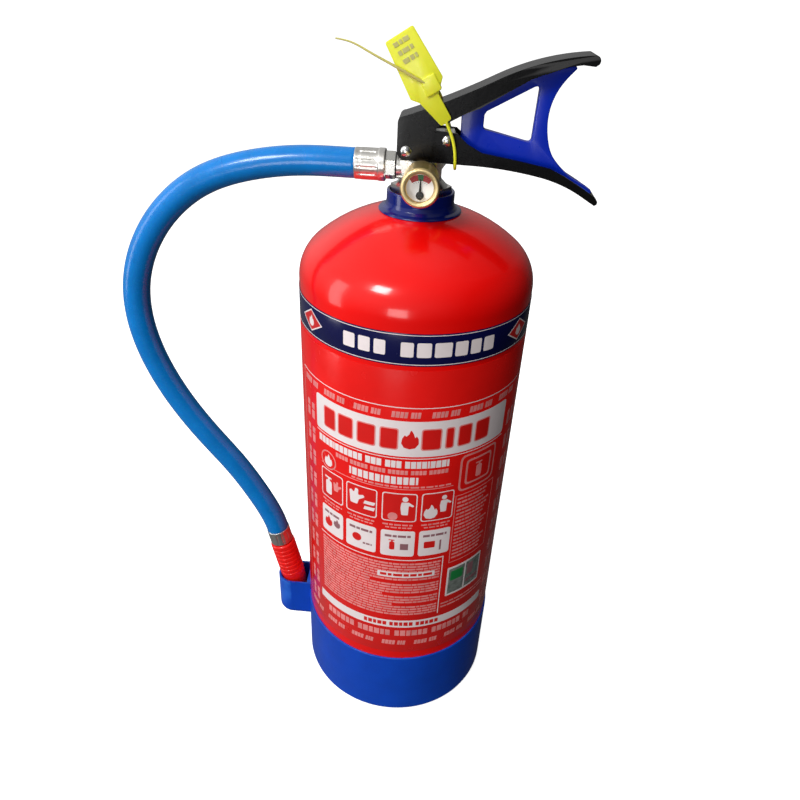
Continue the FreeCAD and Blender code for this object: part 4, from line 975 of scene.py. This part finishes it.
def rivet(name, x, z, seat):
    """Domed rivet across the levers; its heads sit at y = -seat and y = seat."""
    ball_r = (RIVET_HEAD_R ** 2 + RIVET_HEAD_H ** 2) / (2 * RIVET_HEAD_H)
    sweep = math.asin(RIVET_HEAD_R / ball_r)
    tip = -seat - RIVET_HEAD_H
    head = [(0.0, tip)]
    for i in range(1, 9):
        a = sweep * i / 8
        head.append((ball_r * math.sin(a), tip + ball_r * (1 - math.cos(a))))
    shank = [(RIVET_SHANK_R, -seat), (RIVET_SHANK_R, seat)]
    lathe(name + "_body", head + shank + [(r, -h) for r, h in reversed(head)], "steel_bright",
          BODY, name, sides=40, origin=(x, 0, z), axis=(0, -1, 0), closed=False)


rivet("pivot_rivet", -10.3, 459.0, LEVER_HALF + 0.04)
rivet("handle_rivet", 14.4, 466.0, HANDLE_HALF + 0.04)

# ------------------------------------------------------------------ stem spring
# Return spring inside the valve, which shortens as the stem goes down
COIL_R, COIL_TURNS, COIL_Z, COIL_RISE, COIL_STEPS = 5.6, 3.5, 409.4, 8.3, 140
coil = []
for i in range(COIL_STEPS + 1):
    turn = 2 * math.pi * COIL_TURNS * i / COIL_STEPS
    coil.append((COIL_R * math.cos(turn), COIL_R * math.sin(turn),
                 COIL_Z + COIL_RISE * i / COIL_STEPS))
spring = tube("stem_spring_coil", coil, 0.7, "steel_bright", BODY, 12, ["stem_spring"])
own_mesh(spring)

# ------------------------------------------------------------------ gauge
GAUGE_X, GAUGE_Z = 0.6, 446.0
PIVOT_DROP = 5.7      # needle pivot below the gauge's centre
DIAL_R, DIAL_BACK, DIAL_FRONT = 9.9, 38.0, 38.6

# (radius, distance from the Y origin towards the front)
GAUGE_CASE = [(1.2, 9.6), (4.8, 9.6), (4.8, 15.05), (6.3, 15.05), (6.3, 22.6), (9.2, 23.6),
              (10.4, 24.0), (11.0, 24.6), (11.0, 43.5), (10.0, 43.5), (10.0, 25.6), (1.2, 25.6)]
GAUGE_BEZEL = [(11.05, 40.2), (11.6, 40.2), (11.6, 45.0), (11.0, 45.9), (10.2, 46.0),
               (9.2, 45.9), (8.5, 45.7), (8.0, 45.0), (8.0, 43.85), (11.05, 43.85)]
GAUGE_LENS = [(0.0, 42.6), (9.9, 42.6), (9.9, 43.4), (8.0, 43.7), (5.0, 43.78), (0.0, 43.8)]
NEEDLE_HUB = [(0.0, 36.6), (0.7, 36.6), (0.7, 39.0), (2.4, 39.0), (2.4, 40.1), (1.9, 40.6),
              (0.0, 40.6)]


def gauge_part(name, profile, mat, replaced, closed=True, body=BODY, sides=72, drop=0.0):
    lathe(name, profile, mat, body, replaced, sides=sides, origin=(GAUGE_X, 0, GAUGE_Z - drop),
          axis=(0, -1, 0), closed=closed)


def dial_face():
    """White disc with red and green zones and black ticks, fanned about the pivot."""
    verts, faces, face_mats = [], [], []

    def patch(points, back, front, slot):
        base, count = len(verts), len(points)
        for depth in (back, front):
            verts.extend((GAUGE_X + x, -depth, GAUGE_Z + z) for x, z in points)
        faces.append([base + i for i in range(count)])
        faces.append([base + count + i for i in range(count)][::-1])
        for i in range(count):
            k = (i + 1) % count
            faces.append((base + i, base + k, base + count + k, base + count + i))
        face_mats.extend([slot] * (count + 2))

    def arc(start, end, radius):
        turns = [math.radians(start + (end - start) * i / 10) for i in range(11)]
        return [(radius * math.sin(a), -PIVOT_DROP + radius * math.cos(a)) for a in turns]

    def zone(start, end, inner, outer, slot):
        patch(arc(start, end, outer) + arc(end, start, inner), DIAL_FRONT, DIAL_FRONT + 0.08,
              slot)

    turns = [2 * math.pi * i / 72 for i in range(72)]
    patch([(DIAL_R * math.cos(a), DIAL_R * math.sin(a)) for a in turns], DIAL_BACK, DIAL_FRONT,
          0)
    for start, end, slot in ((-36, -9, 1), (-9, 9, 2), (9, 36, 1)):
        zone(start, end, 8.4, 11.9, slot)
    for tick in range(-30, 31, 10):
        zone(tick - 0.9, tick + 0.9, 7.2, 8.0, 3)
    add("gauge_dial_face", verts, faces,
        ["dial_white", "dial_red", "print_green", "needle_black"], BODY, ["gauge_dial"],
        face_mats=face_mats, weld=False)


gauge_part("gauge_case_body", soft(GAUGE_CASE, 0.4), "brass", "gauge_case")
gauge_part("gauge_bezel_body", soft(GAUGE_BEZEL, 0.4), "brass", "gauge_bezel")
gauge_part("gauge_lens_body", GAUGE_LENS, "clear_lens", "gauge_lens", closed=False)
dial_face()
gauge_part("gauge_needle_hub", soft(NEEDLE_HUB, 0.2, 2, closed=False), "needle_black",
           "gauge_needle", closed=False, body="needle", sides=40, drop=PIVOT_DROP)
blade = [(GAUGE_X + x, GAUGE_Z + z)
         for x, z in ((-0.95, -5.2), (0.95, -5.2), (0.3, 4.1), (-0.3, 4.1))]
plate("gauge_needle_blade", blade, 0.25, -39.55, "needle_black", "needle", bevel=0.08,
      segments=2)

# ------------------------------------------------------------------ hose
HOSE_R, HOSE_END_R = 9.4, 8.7    # HOSE_END_R is inside the ferrules
OUTLET_Z = 447.5
NOZZLE_DIR = np.array((0.2118, 0, -0.9773))
NOZZLE_ORIGIN = (-109.59, 0, 129.33)
# Centre line from the outlet to the nozzle, (x, z)
HOSE_KNOTS = [
    (-43.1, OUTLET_Z), (-77.3, 447.0), (-111.0, 442.0), (-142.8, 430.7), (-169.8, 410.1),
    (-189.6, 382.5), (-200.4, 350.4), (-200.5, 316.4), (-192.0, 283.5), (-177.8, 252.6),
    (-159.8, 223.7), (-140.4, 195.7), (-123.8, 166.0), (NOZZLE_ORIGIN[0], NOZZLE_ORIGIN[2])]

hose_line = spline([(x, 0, z) for x, z in HOSE_KNOTS], start=np.array((-1.0, 0, 0)),
                   end=NOZZLE_DIR, count=600)
hose_run = np.concatenate([[0], np.cumsum(np.linalg.norm(np.diff(hose_line, axis=0), axis=1))])


def hose_at(run):
    """Point on the centre line at a length along it."""
    return np.array([np.interp(run, hose_run, hose_line[:, i]) for i in range(3)])


def hose():
    """One skin per bend joint, split halfway between joints."""
    bends = []
    for joint in frame["joints"]:
        if joint["name"].startswith("hose_bend_"):
            away = np.linalg.norm(hose_line - np.array(joint["pos_m"]) / MM, axis=1)
            bends.append((hose_run[np.argmin(away)], joint["parent"], joint["child"]))
    total = hose_run[-1]
    splits = [0.0] + [(a[0] + b[0]) / 2 for a, b in zip(bends, bends[1:])] + [total]
    for i, (bend, parent, child) in enumerate(bends):
        start, end = splits[i], splits[i + 1]
        runs = np.linspace(start, end, max(24, int((end - start) / 1.6)))
        points = [hose_at(run) for run in runs]
        radii = [HOSE_R] * len(points)
        replaces = ["hose_length_%d" % (i + 1)]
        if i == 0:
            points = [hose_at(0) + np.array((x, 0, 0)) for x in (17.0, 1.0)] + points
            radii = [HOSE_END_R] * 2 + radii
        if i == len(bends) - 1:
            points += [hose_at(total) + NOZZLE_DIR * reach for reach in (0.9, 12.0)]
            radii = radii + [HOSE_END_R] * 2
            replaces.append("hose_length_6")
        skin = tube("hose_skin_%d" % (i + 1), points, radii, "hose_blue", None, 48, replaces)
        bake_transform(skin)


hose()

# ------------------------------------------------------------------ ferrules and nozzle
# (radius, distance along the hose's end direction)
UPPER_FERRULE = [(6.4, 23.05), (9.6, 23.05), (10.15, 23.7), (10.15, 27.2), (9.85, 27.8),
                 (9.85, 38.6), (9.7, 39.2), (9.7, 42.2), (9.5, 42.9), (8.82, 42.9),
                 (8.82, 24.2), (6.4, 24.2)]
LOWER_FERRULE = [(8.82, 0.1), (9.5, 0.1), (9.8, 0.6), (9.8, 13.8), (9.5, 14.4), (6.4, 14.4),
                 (6.4, 13.7), (8.82, 13.7)]
GRIP_R, GROOVE_R, GROOVE_PITCH = 10.6, 10.12, 4.6


def crimp(low, high, depth):
    """Shape for lathe: twelve lengthwise creases between two heights."""
    def shape(radius, height, turn):
        fade = min(1.0, max(0.0, min(height - low, high - height) / 1.6))
        wave = abs(math.sin(turn * 6))
        return radius - depth * fade * (1 - min(1.0, wave * 2.6)) if radius > 9.0 else radius
    return shape


def grip(radius, height, turn):
    """Shape for lathe: short lengthwise ribs between the nozzle's grooves."""
    if radius > 10.55 and 17.5 < height < 51.0:
        return radius + 0.22 * max(0.0, math.cos(turn * 10)) ** 3
    return radius


def dense(profile, step=1.0):
    """Splits the sides of a closed profile into steps."""
    out = []
    for i, (r0, h0) in enumerate(profile):
        r1, h1 = profile[(i + 1) % len(profile)]
        count = max(1, int(math.hypot(r1 - r0, h1 - h0) / step))
        out += [(r0 + (r1 - r0) * j / count, h0 + (h1 - h0) * j / count) for j in range(count)]
    return out


def nozzle_profile():
    points = [(9.6, 15.7), (GRIP_R, 16.6)]
    for i in range(7):
        h = 20.0 + GROOVE_PITCH * i
        points += [(GRIP_R, h), (GROOVE_R, h + 0.5), (GROOVE_R, h + 1.1), (GRIP_R, h + 1.6)]
    return points + [(GRIP_R, 51.5), (8.8, 76.6), (8.3, 77.6), (6.3, 77.6), (4.6, 66.0),
                     (4.6, 28.0), (6.05, 27.2), (6.05, 15.7)]


lathe("upper_ferrule_body", dense(soft(UPPER_FERRULE, 0.3, 3)), "ferrule_plate", BODY,
      "upper_ferrule", sides=144, origin=(0, 0, OUTLET_Z), axis=(-1, 0, 0),
      shape=crimp(28.0, 41.6, 0.55), angle=40)
lathe("lower_ferrule_body", dense(soft(LOWER_FERRULE, 0.3, 3)), "ferrule_plate", "nozzle_end",
      "lower_ferrule", sides=144, origin=NOZZLE_ORIGIN, axis=tuple(NOZZLE_DIR),
      shape=crimp(1.2, 12.6, 0.5), angle=40)
lathe("nozzle_body", dense(soft(nozzle_profile(), 0.35, 2), 0.9), "nozzle_red", "nozzle_end",
      "discharge_nozzle", sides=120, origin=NOZZLE_ORIGIN, axis=tuple(NOZZLE_DIR), shape=grip,
      angle=50)

# ------------------------------------------------------------------ tamper seal
SEAL_Y = -14.9
CORD_R, TAIL_TIP_R = 0.95, 0.45
# (x, z)
TAG = [(-24.6, 517.7), (-9.4, 527.2), (9.2, 502.0), (7.4, 492.6), (16.2, 479.6), (10.4, 475.2),
       (-3.4, 487.2), (-8.6, 488.6)]
LOCK = [(-3.6, 499.6), (4.0, 504.0), (9.4, 495.6), (1.0, 490.4)]
BAR_ROWS = ((3.2, 2.0, 4.0), (2.4, 4.4, 2.0), (4.2, 2.6, 1.8))    # pitch widths of the bars
# (x, y, z)
LOOP = [(13.0, -14.9, 477.6), (17.6, -14.9, 468.0), (20.0, -14.6, 457.0), (20.4, -12.8, 451.2),
        (20.4, -7.0, 449.6), (20.3, 0.0, 449.3), (20.2, 7.0, 449.6), (20.0, 12.8, 451.2),
        (19.0, 15.0, 458.0), (14.0, 15.3, 474.0), (9.0, 14.8, 486.5), (7.2, 10.5, 490.2),
        (6.4, 3.0, 491.4), (5.8, -4.0, 491.8), (5.0, -10.5, 492.4), (3.6, -14.6, 495.4)]
TAIL = [(0.6, -15.6, 497.6), (-3.8, -16.6, 499.5), (-12.0, -17.4, 503.4), (-20.3, -17.8, 507.2),
        (-34.2, -17.6, 513.4), (-43.3, -17.0, 517.2), (-52.4, -16.2, 518.7)]


def seal_bars():
    """Raised bars in three rows, square to the tag's upper left corner."""
    corners = np.array(TAG)
    along = corners[1] - corners[0]
    along /= np.linalg.norm(along)
    down = corners[2] - corners[1]
    down /= np.linalg.norm(down)
    first = corners[0] + along * 3.2 + down * 2.6
    count = 0
    for row, widths in enumerate(BAR_ROWS):
        x = 0.0
        for width in widths:
            start = first + down * (row * 5.0) + along * x
            end = start + along * width * 0.9
            count += 1
            plate("seal_bar_%d" % count, [start, end, end + down * 2.6, start + down * 2.6],
                  0.2, SEAL_Y - 0.8, "strap_yellow", BODY, bevel=0.08, segments=1)
            x += width + 0.4


plate("seal_tag", soft(TAG, 1.3, 3), 0.7, SEAL_Y, "seal_yellow", BODY, bevel=0.3, segments=2,
      replaces=["tamper_seal"])
plate("seal_lock", soft(LOCK, 1.2, 3), 2.0, SEAL_Y, "seal_yellow", BODY, bevel=0.5, segments=3)
seal_bars()
tube("seal_loop", spline(LOOP, count=160), CORD_R, "seal_yellow", BODY, 14)
tube("seal_tail", spline(TAIL, count=90), np.linspace(CORD_R, TAIL_TIP_R, 90), "strap_yellow",
     BODY, 14)

# ------------------------------------------------------------------ CAD pieces kept as they are
slot_of = {part["node"]: part["material_slot"] for part in frame["record"]["subparts"]}
for name, obj in frame["nodes"].items():
    obj.data.materials.clear()
    obj.data.materials.append(MATS[slot_of[name]])


# ------------------------------------------------------------------ floor, lights, world, camera
def add_floor():
    """Pale glowing floor that reflections and bounced light don't see."""
    bm = bmesh.new()
    bmesh.ops.create_grid(bm, x_segments=2, y_segments=2, size=40.0)
    mesh = bpy.data.meshes.new("floor")
    bm.to_mesh(mesh)
    bm.free()
    floor = bpy.data.objects.new("floor", mesh)
    mesh.materials.append(material("floor_pale", color=(0.95, 0.95, 0.95), rough=0.8,
                                   mottle=0.01, bump=0.02, spec=0.2, glow=0.75))
    bpy.context.scene.collection.objects.link(floor)
    floor.visible_glossy = False
    floor.visible_diffuse = False


def area(name, place, target, size, power, height=None):
    """Rectangular light at place, aimed at target; height defaults to size."""
    light = bpy.data.lights.new(name, "AREA")
    light.shape = "RECTANGLE"
    light.size, light.size_y, light.energy = size, height or size, power
    obj = bpy.data.objects.new(name, light)
    obj.location = place
    obj.rotation_mode = "QUATERNION"
    aim = Vector(target) - Vector(place)
    obj.rotation_quaternion = aim.to_track_quat("-Z", "Y")
    bpy.context.scene.collection.objects.link(obj)
    return obj


def add_world():
    """White to the camera; otherwise brighter towards -X and darker below."""
    world = bpy.data.worlds.new("studio")
    world.use_nodes = True
    tree = world.node_tree
    background = tree.nodes["Background"]
    background.inputs[0].default_value = (1.0, 1.0, 1.0, 1)
    place = node(tree, "TexCoord", {}).outputs["Generated"]
    axes = node(tree, "SeparateXYZ", {0: place})
    sideways = node(tree, "MapRange", {"From Min": -0.7, "From Max": 0.75, "To Min": 0.8,
                                       "To Max": 0.04, "Value": axes.outputs[0]})
    camera_ray = node(tree, "LightPath", {}).outputs["Is Camera Ray"]
    upwards = node(tree, "MapRange", {"From Min": -0.25, "From Max": 0.3, "To Min": 0.22,
                                      "To Max": 1.0, "Value": axes.outputs[2]})
    shade = node(tree, "Math", {0: sideways.outputs[0], 1: upwards.outputs[0]},
                 operation="MULTIPLY")
    strength = node(tree, "Mix", {0: camera_ray, 2: shade.outputs[0], 3: 1.0},
                    data_type="FLOAT")
    tree.links.new(strength.outputs[0], background.inputs[1])
    bpy.context.scene.world = world


def add_camera():
    data = bpy.data.cameras.new("camera")
    data.sensor_width = 36.0
    data.lens = 30.778056
    data.clip_start, data.clip_end = 0.01, 50
    camera = bpy.data.objects.new("camera", data)
    bpy.context.scene.collection.objects.link(camera)
    # radians: pitch below the horizon, roll, and yaw from +Y towards +X
    pitch, roll, yaw = 0.5648, 0.0501, -0.0426
    forward = np.array([math.sin(yaw) * math.cos(pitch), math.cos(yaw) * math.cos(pitch),
                        -math.sin(pitch)])
    right = np.array([math.cos(yaw), -math.sin(yaw), 0.0])
    up = np.cross(right, forward)
    pose = np.eye(4)
    pose[:3, 0] = math.cos(roll) * right + math.sin(roll) * up
    pose[:3, 1] = -math.sin(roll) * right + math.cos(roll) * up
    pose[:3, 2] = -forward
    pose[:3, 3] = (0.0122818, -0.4457202, 0.5543178)
    camera.matrix_world = Matrix(pose.tolist())
    bpy.context.scene.camera = camera


add_floor()
area("key", (-0.75, -1.0, 1.55), (0.0, 0.0, 0.28), size=0.42, power=16)
area("low_front", (-0.35, -1.6, 0.35), (0.0, 0.0, 0.2), size=0.5, power=5)
area("left_strip", (-1.3, -0.35, 0.5), (0.0, 0.0, 0.25), size=0.35, power=4, height=1.1)
top_light = area("top", (0.1, 0.3, 1.7), (0.0, 0.0, 0.3), size=0.9, power=5)
top_light.visible_glossy = False
add_world()
add_camera()
bpy.context.scene.view_settings.view_transform = "Standard"
